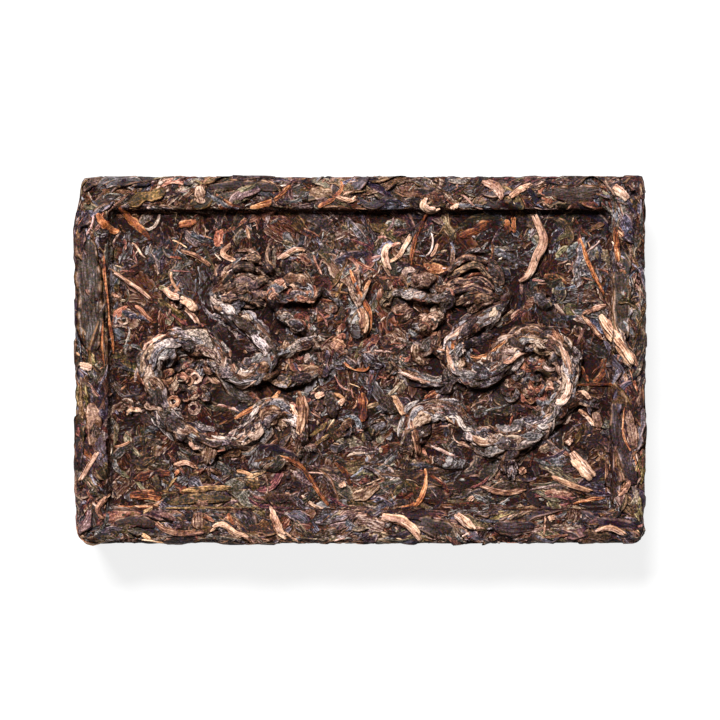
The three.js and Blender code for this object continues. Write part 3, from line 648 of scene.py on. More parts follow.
@functools.cache
def leaf_material(finish):
    """Dry leaf of one finish: each piece has its own tone and cast with blotches in it, torn rusty edges, a
    painted shadow line at its edge, and wrinkles along it that are partly painted sheen on their ridges and
    painted shade in their creases."""
    look = FINISHES[finish]
    material, tree, shader = new_material(look.name)
    add = functools.partial(add_node, tree)
    place = add("ShaderNodeTexCoord").outputs["Object"]
    along = add("ShaderNodeUVMap", uv_map="Leaf")
    tone = add("ShaderNodeAttribute", attribute_name="tone").outputs["Fac"]
    edge = add("ShaderNodeAttribute", attribute_name="edge").outputs["Fac"]
    own_draw = add("ShaderNodeAttribute", attribute_name="cast")
    own_cast, own_depth = own_draw.outputs["Color"], own_draw.outputs["Alpha"]
    wrinkle_scale = (1.0 / look.wrinkle[0], 1.0 / look.wrinkle[1], 1.0)
    stretched = add("ShaderNodeMapping", {"Vector": along, "Scale": wrinkle_scale})
    wrinkles = add("ShaderNodeTexNoise", {"Vector": stretched, **WRINKLES})
    specks = add("ShaderNodeTexNoise", {"Vector": place, **SPECKS})
    blotches = add("ShaderNodeTexNoise", {"Vector": place, **BLOTCHES})
    border = add("ShaderNodeMapRange", {"Value": edge, **TORN_BORDER}, clamp=True)
    frayed = add("ShaderNodeMapRange", {"Value": blotches, **TORN_PLACES}, clamp=True)
    torn = add("ShaderNodeMath", {0: border, 1: frayed}, operation="MULTIPLY")
    # Painted shadow line at the leaf's edge
    painted_gap_shadow = add("ShaderNodeMapRange", {"Value": edge, **EDGE_PAINTED_SHADOW}, clamp=True)
    offset = -LEAF_DARKENING - look.speckle / 2
    rough = add("ShaderNodeMath", {0: specks, 1: look.speckle, 2: offset}, operation="MULTIPLY_ADD")
    # Wrinkles set the tone and the bump alike: lighter ridges and darker creases, partly the leaf's own
    # streaks, partly painted sheen and painted shade
    swing = add("ShaderNodeMath", {0: wrinkles, 1: 0.5}, operation="SUBTRACT")
    grain = add("ShaderNodeMath", {0: swing, 1: own_depth, 2: rough}, operation="MULTIPLY_ADD")
    mottled = add("ShaderNodeMath", {0: blotches, 1: BLOTCH_TONE, 2: grain}, operation="MULTIPLY_ADD")
    edged = add("ShaderNodeMath", {0: torn, 1: TORN_TONE, 2: tone}, operation="MULTIPLY_ADD")
    bordered = add("ShaderNodeMath", {0: edged, 1: painted_gap_shadow}, operation="ADD")
    spread = add(
        "ShaderNodeMath", {0: mottled, 1: look.contrast, 2: bordered},
        operation="MULTIPLY_ADD", use_clamp=True,
    )
    ramp = add("ShaderNodeValToRGB", {"Fac": spread})
    set_ramp(ramp, look.tones)
    rusty = add("ShaderNodeMath", {0: torn, 1: TORN_COVER}, operation="MULTIPLY")
    rimmed = add("ShaderNodeMix", {0: rusty, 6: ramp, 7: linear(TORN_EDGE)}, data_type="RGBA")
    lifted = add("ShaderNodeVectorMath", {0: rimmed.outputs[2], 1: (CAST_LIFT,) * 3}, operation="ADD")
    own = add("ShaderNodeVectorMath", {0: lifted, 1: own_cast}, operation="MULTIPLY")
    flecked = flecked_colour(add, own, specks.outputs["Color"], CAST_LIFT)
    bump = add("ShaderNodeBump", {"Height": grain, "Strength": 1.0, "Distance": look.depth * MM})
    tree.links.new(flecked, shader.inputs["Base Color"])
    tree.links.new(bump.outputs["Normal"], shader.inputs["Normal"])
    shader.inputs["Roughness"].default_value = look.roughness
    shader.inputs["Specular IOR Level"].default_value = 0.14
    return material


def floor_material(colour):
    """Matt white paper that is lit from below as well, so its shadows stay pale."""
    material, tree, shader = new_material("white_paper")
    add = functools.partial(add_node, tree)
    place = add("ShaderNodeTexCoord").outputs["Object"]
    tooth = add("ShaderNodeTexNoise", {"Vector": place, **PAPER_TOOTH})
    bump = add("ShaderNodeBump", {"Height": tooth, "Strength": 0.1, "Distance": 0.02 * MM})
    tree.links.new(bump.outputs["Normal"], shader.inputs["Normal"])
    shader.inputs["Base Color"].default_value = (*colour, 1.0)
    shader.inputs["Roughness"].default_value = 0.9
    shader.inputs["Emission Color"].default_value = (1.0, 1.0, 1.0, 1.0)
    shader.inputs["Emission Strength"].default_value = 0.84
    return material


# The ground that leaf is laid on

def merged_cad_mesh(name):
    """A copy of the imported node's mesh with its loose triangles joined."""
    shape = bmesh.new()
    shape.from_mesh(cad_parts[NODE].data)
    bmesh.ops.remove_doubles(shape, verts=shape.verts, dist=1e-6)
    mesh = bpy.data.meshes.new(name)
    shape.to_mesh(mesh)
    shape.free()
    return mesh


def spine_line():
    """The right dragon's spine in metres as points and directions."""
    x, y, degrees = SPINE_START
    points, headings = [], []
    for length, turn in SPINE_ARCS:
        steps = math.ceil(length / SPINE_STEP)
        for _ in range(steps):
            direction = heading(degrees + turn / steps / 2)
            points.append((x, y))
            headings.append(direction)
            x, y = x + direction[0] * length / steps, y + direction[1] * length / steps
            degrees += turn / steps
    return np.array(points) * MM, np.array(headings)


def blurred(grid, reach):
    """A grid averaged over a bell of this many cells."""
    offsets = np.arange(-3 * reach, 3 * reach + 1)
    bell = np.exp(-0.5 * (offsets / reach) ** 2)
    bell /= bell.sum()
    for axis in (0, 1):
        border = [(0, 0), (0, 0)]
        border[axis] = (3 * reach, 3 * reach)
        grid = np.apply_along_axis(np.convolve, axis, np.pad(grid, border, mode="edge"), bell, mode="valid")
    return grid


class Ground:
    """The brick's faces, as a ground that leaf is laid on. Everything here is in metres."""

    CELL = 0.6 * MM  # of the height map
    BLUR = 5  # cells round a spot that its height is compared with

    def __init__(self):
        mesh = merged_cad_mesh("ground")
        mesh.calc_loop_triangles()
        places = np.empty(len(mesh.vertices) * 3)
        mesh.vertices.foreach_get("co", places)
        places = places.reshape(-1, 3)
        corners = np.empty(len(mesh.loop_triangles) * 3, dtype=np.int64)
        mesh.loop_triangles.foreach_get("vertices", corners)
        corners = corners.reshape(-1, 3)
        self.corners = places[corners]
        cross = np.cross(self.corners[:, 1] - self.corners[:, 0], self.corners[:, 2] - self.corners[:, 0])
        self.area = np.linalg.norm(cross, axis=1) / 2
        self.normal = cross / np.maximum(2 * self.area, 1e-18)[:, None]
        self.tree = BVHTree.FromPolygons(places.tolist(), corners.tolist())
        bpy.data.meshes.remove(mesh)
        self.spine, self.spine_heading = spine_line()
        self.region = self.regions()
        self.relief_map = self.map_relief()

    def regions(self):
        """Which part of the brick each triangle is in: rim, panel, the panel's foot, relief, side or base."""
        middle = self.corners.mean(axis=1)
        x, y, z = np.abs(middle[:, 0]), np.abs(middle[:, 1]), middle[:, 2]
        inside = (x < RIM_INNER[0]) & (y < RIM_INNER[1]) & (z > PANEL_TOP - PANEL_UNEVEN)
        relief = inside & (z > PANEL_TOP + PANEL_UNEVEN)
        foot = inside & ~relief & (middle[:, 1] < FOOT_TOP)
        panel = inside & ~relief & ~foot
        base = z < BASE_TOP
        rim = ~inside & (z > RIM_TOP - RIM_ROLL)
        side = ~inside & ~base & ~rim
        return {"rim": rim, "panel": panel, "foot": foot, "relief": relief, "side": side, "base": base}

    def map_relief(self):
        """How far each spot of the upper face stands above (+) or below (-) what is round it, in mm."""
        columns = np.arange(LOW[0], HIGH[0], self.CELL)
        rows = np.arange(LOW[1], HIGH[1], self.CELL)
        heights = np.full((len(rows), len(columns)), PANEL_TOP)
        for row, y in enumerate(rows):
            for column, x in enumerate(columns):
                if abs(x) < RIM_INNER[0] and abs(y) < RIM_INNER[1]:
                    heights[row, column] = self.drop([(x, y)])[0, 2]
        return (heights - blurred(heights, self.BLUR)) / MM

    def painted_shading_and_tone(self, places):
        """How much lighter (+) or darker (-) each place is painted, in mm: painted shade in dips and painted
        highlight on crests of its relief, painted shadow below the top wall, and the tone of its part.
        """
        column = np.clip(((places[..., 0] - LOW[0]) / self.CELL).astype(int), 0, self.relief_map.shape[1] - 1)
        row = np.clip(((places[..., 1] - LOW[1]) / self.CELL).astype(int), 0, self.relief_map.shape[0] - 1)
        # Painted shade in dips and painted highlight on crests, from the relief
        above = np.where(places[..., 2] > PANEL_TOP - MM, self.relief_map[row, column], 0.0)
        above = np.where(above > 0, CREST_HIGHLIGHT_SHARE * above, above)
        on_rim = (np.abs(places[..., :2]) > RIM_INNER).any(axis=-1)
        # Painted shadow of the top wall on the panel below it
        above -= WALL_PAINTED_SHADOW * np.clip(1 - (RIM_INNER[1] - places[..., 1]) / WALL_REACH, 0, 1) * ~on_rim
        above += (places[..., :2] / RIM_INNER * PANEL_SLOPE).sum(axis=-1) * ~on_rim
        above += MIDDLE_LIGHT * np.exp(-(places[..., 0] / MIDDLE_REACH) ** 2) * ~on_rim
        rim_shade = np.where(np.abs(places[..., 0]) > RIM_INNER[0], SHORT_RIM_SHADE, RIM_SHADE)
        shaded = np.where(on_rim, np.minimum(above, 0.0) - rim_shade, above - PANEL_SHADE)
        return np.clip(shaded, -MOST_STANDING, MOST_STANDING)

    def spots(self, rng, count, shares):
        """Random spots on the faces, with their outward directions and regions: shares gives each region's
        share of them."""
        weight = np.zeros(len(self.area))
        for region, share in shares.items():
            area = self.area * self.region[region]
            weight += share * area / area.sum()
        chosen = rng.choice(len(weight), size=count, p=weight / weight.sum())
        a, b = rng.random((2, count))
        flip = a + b > 1
        a[flip], b[flip] = 1 - a[flip], 1 - b[flip]
        first, second, third = self.corners[chosen].transpose(1, 0, 2)
        spots = first + a[:, None] * (second - first) + b[:, None] * (third - first)
        names = np.array(list(self.region))
        regions = names[np.argmax([self.region[name][chosen] for name in names], axis=0)]
        return spots, self.normal[chosen], regions

    def spine_at(self, spot):
        """The direction of the nearest dragon's spine, and how far away it is."""
        mirrored = np.array([abs(spot[0]), spot[1]])
        distance = np.hypot(*(self.spine - mirrored).T)
        nearest = int(np.argmin(distance))
        along = self.spine_heading[nearest].copy()
        along[0] *= math.copysign(1.0, spot[0])
        return along, distance[nearest]

    def walk(self, spot, normal, direction, length, turns):
        """Follows the faces from a spot, turning a little at each step: places and outward directions."""
        place, normal = Vector(spot), Vector(normal)
        direction = (direction - normal * direction.dot(normal)).normalized()
        step = length / len(turns)
        places, normals = [place[:]], [normal[:]]
        for turn in turns:
            place, normal, _, _ = self.tree.find_nearest(place + direction * step)
            direction = direction - normal * direction.dot(normal)
            direction = (direction + normal.cross(direction) * turn).normalized()
            places.append(place[:])
            normals.append(normal[:])
        return places, normals

    def drop(self, points):
        """Points [x, y] laid on the upper faces: their places."""
        above = HIGH[2] + MM
        return np.array([self.tree.ray_cast(Vector((x, y, above)), DOWN)[0][:] for x, y in points])


@functools.cache
def ground():
    """The ground, worked out once for all the leaf."""
    return Ground()


# The shapes of leaf

# Sections of a leaf, as shares of its half-width and of its thickness: over the top and back below
CREASED = np.array([
    (-1.0, -0.25), (-0.7, 0.62), (-0.36, 0.9), (0.0, 1.0), (0.36, 0.9), (0.7, 0.62), (1.0, -0.25),
    (0.5, -0.9), (-0.5, -0.9),
])
PLAIN = np.array([(-1.0, 0.0), (0.0, 1.0), (1.0, 0.0), (0.0, -0.9)])
TIP_THICKNESS = 0.4  # as a share of a leaf's thickness at its middle
TIP_CUT = 0.02  # how much of a leaf's pointed end is cut off at each tip, as a share of its length
ROLL = 0.12  # how far leaves are rolled to a side, in radians
UV_APART = 7.3  # mm between the wrinkles of one leaf and the next in the noise

# A leaf's own cast: its limits from cool to warm and from purple to olive, what each does to red, green and
# blue, and the limits of how deep its wrinkles are
WARMTH = (-0.165, 0.13)
GREENNESS = (-0.06, 0.06)
WARM_TINT = (0.6, 0.0, -1.2)
GREEN_TINT = (-0.6, 0.8, -0.6)
WRINKLING = (0.4, 1.6)

# The panel's upper right corner, where the leaf is nearer slate
COOL_CORNER = np.array([44.0, 23.0]) * MM
COOL_REACH = 21 * MM
COOL_TINT = np.array([-0.11, 0.02, 0.08])


def eased(rows):
    """Rows of directions or places, smoothed along the leaf and kept at its ends."""
    padded = np.concatenate([rows[:, :1], rows, rows[:, -1:]], axis=1)
    return (padded[:, :-2] + 2 * padded[:, 1:-1] + padded[:, 2:]) / 4


def unit(rows):
    """Rows of vectors at length one."""
    return rows / np.maximum(np.linalg.norm(rows, axis=-1, keepdims=True), 1e-12)


def tapered(stations, blunt):
    """A leaf's width along it: near 0 at both tips, and fuller for a larger blunt."""
    along = np.linspace(0, 1, stations)
    return np.maximum(np.sin(np.pi * (TIP_CUT + (1 - 2 * TIP_CUT) * along)), 0.0) ** (1.0 / blunt)


def thinned(taper):
    """A leaf's thickness along it, for the way its width tapers."""
    return (TIP_THICKNESS + (1 - TIP_THICKNESS) * taper)[None, :, None]


def widths(rng, section, half_width, taper, ragged):
    """Where each point of the sections lies across the leaves, with each edge ragged in its own way."""
    count, stations = len(half_width), len(taper)
    edges = eased(rng.normal(1.0, ragged, (count, stations, 2)))
    side = (section[:, 0] > 0).astype(int)
    return section[:, 0] * half_width[:, None, None] * taper[None, :, None] * edges[:, :, side]


def creases(rng, section, count, stations, depth):
    """Heights of the sections' points: the top's ridges rise and fall from one end of a leaf to the other."""
    ends = rng.uniform(1.0 - depth, 1.0, (count, 2, len(section)))
    share = np.linspace(0, 1, stations)[None, :, None]
    ridge = ends[:, :1] * (1 - share) + ends[:, 1:] * share
    return np.where(section[:, 1] > 0, ridge, 1.0) * section[:, 1]


def sweep(places, normals, across, heights, lift, twist):
    """Vertices of leaves swept along their stations, a row for each leaf and a column for each station."""
    places = eased(np.asarray(places))
    normals = unit(eased(eased(np.asarray(normals))))
    tangent = unit(np.gradient(places, axis=1))
    aside = unit(np.cross(tangent, normals))
    outward = np.cross(aside, tangent)
    turn_cos, turn_sin = np.cos(twist)[..., None], np.sin(twist)[..., None]
    turned = (aside * turn_cos + outward * turn_sin)[:, :, None]
    raised = (outward * turn_cos - aside * turn_sin)[:, :, None]
    centre = (places + normals * lift[..., None])[:, :, None]
    return centre + turned * across[..., None] + raised * heights[..., None]


def joined_leaf_mesh(name, vertices, across, lengths, section, tone, cast):
    """One mesh of many swept leaves, with their tone, cast, edges and a UV map in mm along and across."""
    leaves, stations, ring, _ = vertices.shape
    around = np.arange(ring)
    row = np.stack([around, (around + 1) % ring, (around + 1) % ring + ring, around + ring], axis=1)
    tube = (row[None] + (np.arange(stations - 1) * ring)[:, None, None]).reshape(-1, 4)
    start = np.arange(leaves) * stations * ring
    quads = (tube[None] + start[:, None, None]).reshape(-1, 4)
    near = around[::-1][None] + start[:, None]
    far = around[None] + start[:, None] + (stations - 1) * ring
    mesh = bpy.data.meshes.new(name)
    mesh.from_pydata(vertices.reshape(-1, 3).tolist(), [], quads.tolist() + near.tolist() + far.tolist())
    mesh.polygons.foreach_set("use_smooth", np.ones(len(mesh.polygons), dtype=bool))
    along = np.linspace(0, 1, stations)[None] * lengths[:, None] / MM + np.arange(leaves)[:, None] * UV_APART
    uv = np.stack([np.broadcast_to(along[..., None], across.shape), across / MM], axis=-1).reshape(-1, 2)
    corner = np.empty(len(mesh.loops), dtype=np.int64)
    mesh.loops.foreach_get("vertex_index", corner)
    mesh.uv_layers.new(name="Leaf").data.foreach_set("uv", uv[corner].ravel())
    values = np.repeat(tone, stations * ring)
    mesh.attributes.new("tone", "FLOAT", "POINT").data.foreach_set("value", values)
    edges = np.tile(np.abs(section[:, 0]), leaves * stations)
    mesh.attributes.new("edge", "FLOAT", "POINT").data.foreach_set("value", edges)
    colours = np.repeat(cast, stations * ring, axis=0)
    mesh.attributes.new("cast", "FLOAT_COLOR", "POINT").data.foreach_set("color", colours.ravel())
    mesh.update()
    return mesh


def casts(rng, count, spread=1.0):
    """Each leaf's own cast, factors on red, green and blue, and how deep its wrinkles are."""
    warm = rng.uniform(*WARMTH, (count, 1)) * spread
    green = rng.uniform(*GREENNESS, (count, 1)) * spread
    factors = np.exp(warm * WARM_TINT + green * GREEN_TINT)
    return np.column_stack([factors, rng.uniform(*WRINKLING, count)])


def corner_cast(places):
    """Factors on red, green and blue that make leaf near the cool corner slate."""
    away = np.linalg.norm(places[:, :2] - COOL_CORNER, axis=1) / COOL_REACH
    return np.exp(np.exp(-away ** 2)[:, None] * COOL_TINT)


# Scattered leaf

# Where it lies: each region's share of a kind
BROAD = {"rim": 0.3, "panel": 0.3, "foot": 0.09, "side": 0.2, "base": 0.12}
WHOLE = {"rim": 0.6, "side": 0.4}
TWISTED = {"rim": 0.36, "panel": 0.09, "foot": 0.06, "side": 0.33, "base": 0.19}
SPREAD = {"rim": 0.28, "panel": 0.28, "foot": 0.05, "relief": 0.02, "side": 0.24, "base": 0.12}
FINE = {"rim": 0.24, "panel": 0.24, "foot": 0.025, "relief": 0.08, "side": 0.22, "base": 0.12}

# How far the leaf of each region turns from that region's run: with its neighbours, and each leaf by itself
TURNS = {
    "rim": (3.2, 1.2), "panel": (2 * math.pi, 0.7), "foot": (1.2, 0.3), "relief": (0.0, 0.3),
    "side": (0.8, 0.3), "base": (2 * math.pi, 0.7),
}
COMBED = 0.55  # leaf on the lower and right rims turns by this share of that
BEND = 0.1  # how far a leaf bends at each step, in radians
WAVER = 0.15  # how far each of its steps strays from that

PANEL_SIZE = 0.8  # leaf on the panel is broken smaller
LONGEST_BY_RELIEF = 4.5  # mm, of a leaf on the dragons or beside them
FLOW_SIZE = 13 * MM  # of the patches where the leaf lies one way
PATCH_SIZE = 17 * MM  # of the patches where the leaf is lighter or darker
PATCH_TONE = 0.18
SCATTER_CREASE = 0.85  # how far creases go into a leaf, as a share of its thickness
TIP_SUNK = 0.08  # mm that a leaf's tips are pressed in
BASE_LEVEL = (0.0, 0.15)  # mm above the floor that leaf below the brick is pressed to
PROUD = (-0.5, 0.2)  # mm that leaf at the sides stands out past the solid
OVERHANG = 3.0 * MM  # farthest that leaf on the rim hangs over the panel before it is pressed back
LEDGE = PANEL_TOP + 1.2 * MM  # lowest height of leaf that belongs to the rim


class LeafKind(NamedTuple):
    """How one kind of leaf is cut and laid. Sizes are low and high limits in mm."""

    length: tuple
    width: tuple
    thickness: tuple
    lift: tuple
    stations: int
    section: np.ndarray
    blunt: float
    ragged: float
    twist: float
    shares: dict
    tones: tuple  # of the beta spread that its tone is drawn from
    palest: float = 1.0


# Beta spreads of tone
FLAT = (2.4, 5.2)
ROLLED = (2.6, 4.8)
WOODY = (1.6, 2.6)
MIXED = (1.4, 2.4)

BLADE = LeafKind(
    (5, 16), (1.6, 4.6), (0.1, 0.2), (-0.12, 0.05), 11, CREASED, 2.2, 0.26, 0.12, BROAD, FLAT, 0.58
)
WHOLE_LEAF = LeafKind(
    (6, 18), (2.0, 5.2), (0.1, 0.22), (0.0, 0.14), 13, CREASED, 2.2, 0.3, 0.2, WHOLE, FLAT, 0.58
)
STRAND = LeafKind(
    (5, 15), (0.7, 1.9), (0.18, 0.38), (-0.2, 0.06), 9, CREASED, 2.6, 0.26, 0.4, TWISTED, ROLLED
)
STRIP = LeafKind((3, 11), (0.4, 1.4), (0.14, 0.3), (-0.05, 0.18), 9, CREASED, 3.0, 0.26, 0.5, SPREAD, ROLLED)
STEM = LeafKind((3, 9), (0.5, 1.4), (0.25, 0.5), (-0.08, 0.2), 9, CREASED, 4.0, 0.16, 0.3, SPREAD, WOODY)
SHRED = LeafKind((1.2, 4.6), (0.25, 0.75), (0.1, 0.26), (-0.06, 0.16), 5, PLAIN, 2.4, 0.2, 0.6, FINE, MIXED)
FLAKE = LeafKind((0.8, 2.4), (0.6, 1.6), (0.08, 0.2), (-0.06, 0.14), 4, PLAIN, 3.0, 0.25, 0.4, FINE, MIXED)


def lay_direction(spot, normal, region, angle):
    """Which way a leaf lies: along the rim or foot, round the sides, along a dragon, or with its patch."""
    shared, own = TURNS[region]
    turn = shared * noise.noise(Vector(spot) / FLOW_SIZE) + own * math.sin(angle)
    if region == "relief":
        along, _ = ground().spine_at(spot)
        return Vector((along[0] - along[1] * turn, along[1] + along[0] * turn, 0))
    if region == "rim":
        if spot[0] > RIM_INNER[0] or spot[1] < -RIM_INNER[1]:
            turn *= COMBED
        long_side = abs(spot[1]) / RIM_INNER[1] > abs(spot[0]) / RIM_INNER[0]
        return Vector((1.0, turn, 0)) if long_side else Vector((turn, 1.0, 0))
    if region == "foot":
        return Vector((1.0, turn, 0))
    if region == "side":
        return UP.cross(normal) + UP * turn
    return Vector((math.cos(turn), math.sin(turn), 0))


def laid(rng, kind, count):
    """The stations and lengths of a scatter of leaf, and how much smaller each leaf is for its place."""
    spots, normals, regions = ground().spots(rng, count, kind.shares)
    size = np.where(np.isin(regions, ("panel", "relief")), PANEL_SIZE, 1.0)
    length = rng.uniform(*kind.length, count) * size * MM
    angle = rng.uniform(0, 2 * math.pi, count)
    turns = rng.normal(0, BEND, count)[:, None] + rng.normal(0, WAVER, (count, kind.stations - 1))
    rows = []
    for index in range(count):
        spot, normal, region = spots[index], Vector(normals[index]), regions[index]
        direction = lay_direction(spot, normal, region, angle[index])
        if region in ("panel", "relief") and ground().spine_at(spot)[1] < 2 * BODY_HALF_WIDTH * MM:
            length[index] = min(length[index], LONGEST_BY_RELIEF * MM)
        rows.append(ground().walk(spot, normal, direction, length[index], turns[index]))
    places = np.array([row[0] for row in rows])
    normals = np.array([row[1] for row in rows])
    return places, normals, length, size


def press_to_rim(vertices):
    """Pushes leaf that hangs over the rim's inner edge back to the mould's wall."""
    inward = RIM_INNER - np.abs(vertices[..., :2])
    hanging = (inward > 0).all(axis=-1) & (inward < OVERHANG).any(axis=-1) & (vertices[..., 2] > LEDGE)
    nearer = np.argmin(inward, axis=-1)
    for axis in (0, 1):
        pushed = hanging & (nearer == axis)
        wall = np.sign(vertices[..., axis]) * RIM_INNER[axis]
        vertices[..., axis] = np.where(pushed, wall, vertices[..., axis])


def scatter_mesh(name, rng, kind, count):
    """One joined mesh of a scattered kind, pressed level with the base and with the mould's walls."""
    tone = np.minimum(rng.beta(*kind.tones, count), kind.palest)
    places, normals, length, size = laid(rng, kind, count)
    taper = tapered(kind.stations, kind.blunt)
    across = widths(rng, kind.section, rng.uniform(*kind.width, count) / 2 * size * MM, taper, kind.ragged)
    thickness = rng.uniform(*kind.thickness, count)[:, None, None] * MM * thinned(taper)
    heights = creases(rng, kind.section, count, kind.stations, SCATTER_CREASE) * thickness
    share = np.linspace(0, 1, kind.stations)[None]
    arch = np.sin(np.pi * share)
    lift = rng.uniform(*kind.lift, count)[:, None] * MM * arch - TIP_SUNK * MM * (1 - arch)
    start_turn = rng.normal(0, ROLL, count)[:, None]
    end_turn = start_turn + rng.normal(0, kind.twist, count)[:, None]
    twist = start_turn + (end_turn - start_turn) * share
    vertices = sweep(places, normals, across, heights, lift, twist)
    level = rng.uniform(*BASE_LEVEL, count)[:, None, None] * MM
    vertices[..., 2] = np.maximum(vertices[..., 2], level)
    for axis in (0, 1):
        proud = rng.uniform(*PROUD, count)[:, None, None] * MM
        vertices[..., axis] = np.clip(vertices[..., axis], LOW[axis] - proud, HIGH[axis] + proud)
    press_to_rim(vertices)
    middles = places[:, kind.stations // 2]
    patches = np.array([noise.noise(Vector(middle) / PATCH_SIZE) for middle in middles])
    # Painted shade and highlight of the leaf's place, its tone by place, and its patch
    tone = tone + LEAF_PAINTED_SHADE * ground().painted_shading_and_tone(middles) + PATCH_TONE * patches
    cast = casts(rng, count)
    cast[:, :3] *= corner_cast(middles)
    return joined_leaf_mesh(name, vertices, across, length, kind.section, tone, cast)


# Leaf drawn along its own lines, in mm

PATH_STEPS = 12  # between two points of a line
STIFFNESS = 3  # how many times its height is eased
UNDULATION = 0.5  # how much its lift varies along it, as a share
DRAWN_TWIST = 0.25  # radians from end to end
DRAWN_CAST = 0.4  # how far its casts spread, as a share of the scatter's
SPLIT_STEPS = 20
SPLIT_ENDS = 4  # steps within which a stem's strands end
SPLIT_PLACES = (-0.4, 0.0, 0.4)  # of a stem's strands, as shares of its half-width
SPLIT_WIDTH = 0.66  # of each strand, as a share of the stem's
SPLIT_TONE = (-0.1, 0.08)  # how much a strand's tone differs from its stem's, and by how much that varies
CURL_STEPS = 12
KNOT_STEPS = 6
KNOT_TURN = (110, 250)  # degrees
KNOT_RADIUS = (0.7, 1.9)
CROSSING_REACH = (2.0, 4.0)
CROSSING_TURN = 70  # degrees that a leaf across a leg turns from the leg at most
CROSSING_STRAY = 0.8
CROSSING_BEND = 0.6
STRIP_STEPS = 6
STRIP_LENGTH = (3, 10)
STRIP_REACH = 1.15  # how far down the flanks strips lie, as a share of the body's half-width
STRIP_SLANT = 0.28  # how far a strip runs across the body, as a share of the same
STRIP_STRAY = 0.1
CUT_STEPS = 8  # in each of the lengths that a line is cut into
CUT_OVERLAP = 3
LUMPS = 3  # that a rope of the left dragon's mane is broken into
ROPE_STRAY = 0.25
LUMP_STRAY = 0.35
STRAND_STRAY = 0.12
TOE_STRAY = 15  # degrees

# Limits of how much single ropes, lumps, strands and toes differ in size, and of the manes' tones
ROPE_VARIETY = (0.85, 1.15)
LUMP_VARIETY = (0.8, 1.2)
STRAND_VARIETY = (0.7, 1.2)
TOE_VARIETY = (0.5, 1.3)
ROPE_TONES = (0.1, 0.42)
LUMP_TONES = (0.05, 0.42)


class Cut(NamedTuple):
    """How pieces that follow their own lines are cut: lift in mm, thickness as a share of the half-width."""

    stations: int
    lift: float
    thickness: float
    blunt: float
    ragged: float
    creased: float


BLADE_CUT = Cut(16, 0.3, 0.1, 2.8, 0.16, 0.5)
STRIP_CUT = Cut(16, 0.2, 0.3, 2.6, 0.32, 0.8)
STEM_CUT = Cut(16, 0.5, 0.6, 3.4, 0.24, 0.7)
STRAND_CUT = Cut(10, 0.02, 0.52, 1.9, 0.3, 0.85)
ROPE_CUT = Cut(14, 0.1, 0.95, 4.0, 0.24, 0.55)


def smooth_path(points, stations):
    """A smooth line through points, at evenly spaced stations."""
    points = np.asarray(points, dtype=float)
    padded = np.vstack([2 * points[0] - points[1], points, 2 * points[-1] - points[-2]])
    share = np.linspace(0, len(points) - 1, PATH_STEPS * len(points))
    index = np.minimum(share.astype(int), len(points) - 2)
    part = (share - index)[:, None]
    before, start, end, after = (padded[index + step] for step in range(4))
    cubic = 3 * (start - end) + after - before
    square = 2 * before - 5 * start + 4 * end - after
    line = start + 0.5 * part * (end - before + part * (square + part * cubic))
    reach = np.concatenate([[0], np.cumsum(np.hypot(*np.diff(line, axis=0).T))])
    even = np.linspace(0, reach[-1], stations)
    return np.stack([np.interp(even, reach, line[:, axis]) for axis in (0, 1)], axis=1), reach[-1]


def settled(places):
    """Places of a piece too stiff to follow every dip: its height is eased along it."""
    places = np.array(places)
    for _ in range(STIFFNESS):
        padded = np.concatenate([places[:1, 2], places[:, 2], places[-1:, 2]])
        places[:, 2] = np.maximum(places[:, 2], (padded[:-2] + 2 * padded[1:-1] + padded[2:]) / 4)
    return places


def drawn_mesh(name, rng, rows, cut):
    """One joined mesh of pieces that follow their own lines: rows hold points, half-width and tone."""
    lines = [smooth_path(np.array(row[0]) * MM, cut.stations) for row in rows]
    places = np.array([settled(ground().drop(line)) for line, _ in lines])
    lengths = np.array([length for _, length in lines])
    count = len(rows)
    normals = np.tile(UP, (count, cut.stations, 1))
    taper = tapered(cut.stations, cut.blunt)
    half_width = np.array([row[1] for row in rows]) * MM
    across = widths(rng, CREASED, half_width, taper, cut.ragged)
    thickness = half_width[:, None, None] * cut.thickness * thinned(taper)
    heights = creases(rng, CREASED, count, cut.stations, cut.creased) * thickness
    lift = cut.lift * MM * eased(rng.normal(1.0, UNDULATION, (count, cut.stations)))
    share = np.linspace(0, 1, cut.stations)
    twist = rng.normal(0, ROLL, count)[:, None] + rng.normal(0, DRAWN_TWIST, count)[:, None] * share
    vertices = sweep(places, normals, across, heights, lift, twist)
    tone = np.array([row[2] for row in rows])
    return joined_leaf_mesh(name, vertices, across, lengths, CREASED, tone, casts(rng, count, DRAWN_CAST))


def split(rng, row):
    """A stem split along its length: strands side by side that end at their own places."""
    points, half_width, tone = row
    path, _ = smooth_path(points, SPLIT_STEPS)
    along = unit(np.gradient(path, axis=0))
    aside = np.stack([-along[:, 1], along[:, 0]], axis=1)
    darker, vary = SPLIT_TONE
    rows = []
    for place in SPLIT_PLACES:
        first, last = rng.integers(0, SPLIT_ENDS, 2)
        line = (path + aside * place * half_width)[first:SPLIT_STEPS - last]
        rows.append((line, half_width * SPLIT_WIDTH, tone + darker + rng.normal(0, vary)))
    return rows


def curl_line(x, y, radius):
    """A rolled leaf: a ring that closes a little towards its middle."""
    centre = np.array((x, y))
    return [
        centre + heading(360 * CURL_TURNS * share) * radius * (1 - CURL_CLOSING * share)
        for share in np.linspace(0, 1, CURL_STEPS)
    ]


def knot_line(rng, cluster):
    """A small hooked leaf in one of the clusters that fill a dragon's loop and its face."""
    reach = np.array(cluster["reach"]) * math.sqrt(rng.random())
    centre = np.array(cluster["middle"]) + heading(rng.uniform(0, 360)) * reach
    start, turn, radius = rng.uniform(0, 360), rng.uniform(*KNOT_TURN), rng.uniform(*KNOT_RADIUS)
    return [centre + heading(start + turn * share) * radius for share in np.linspace(0, 1, KNOT_STEPS)]


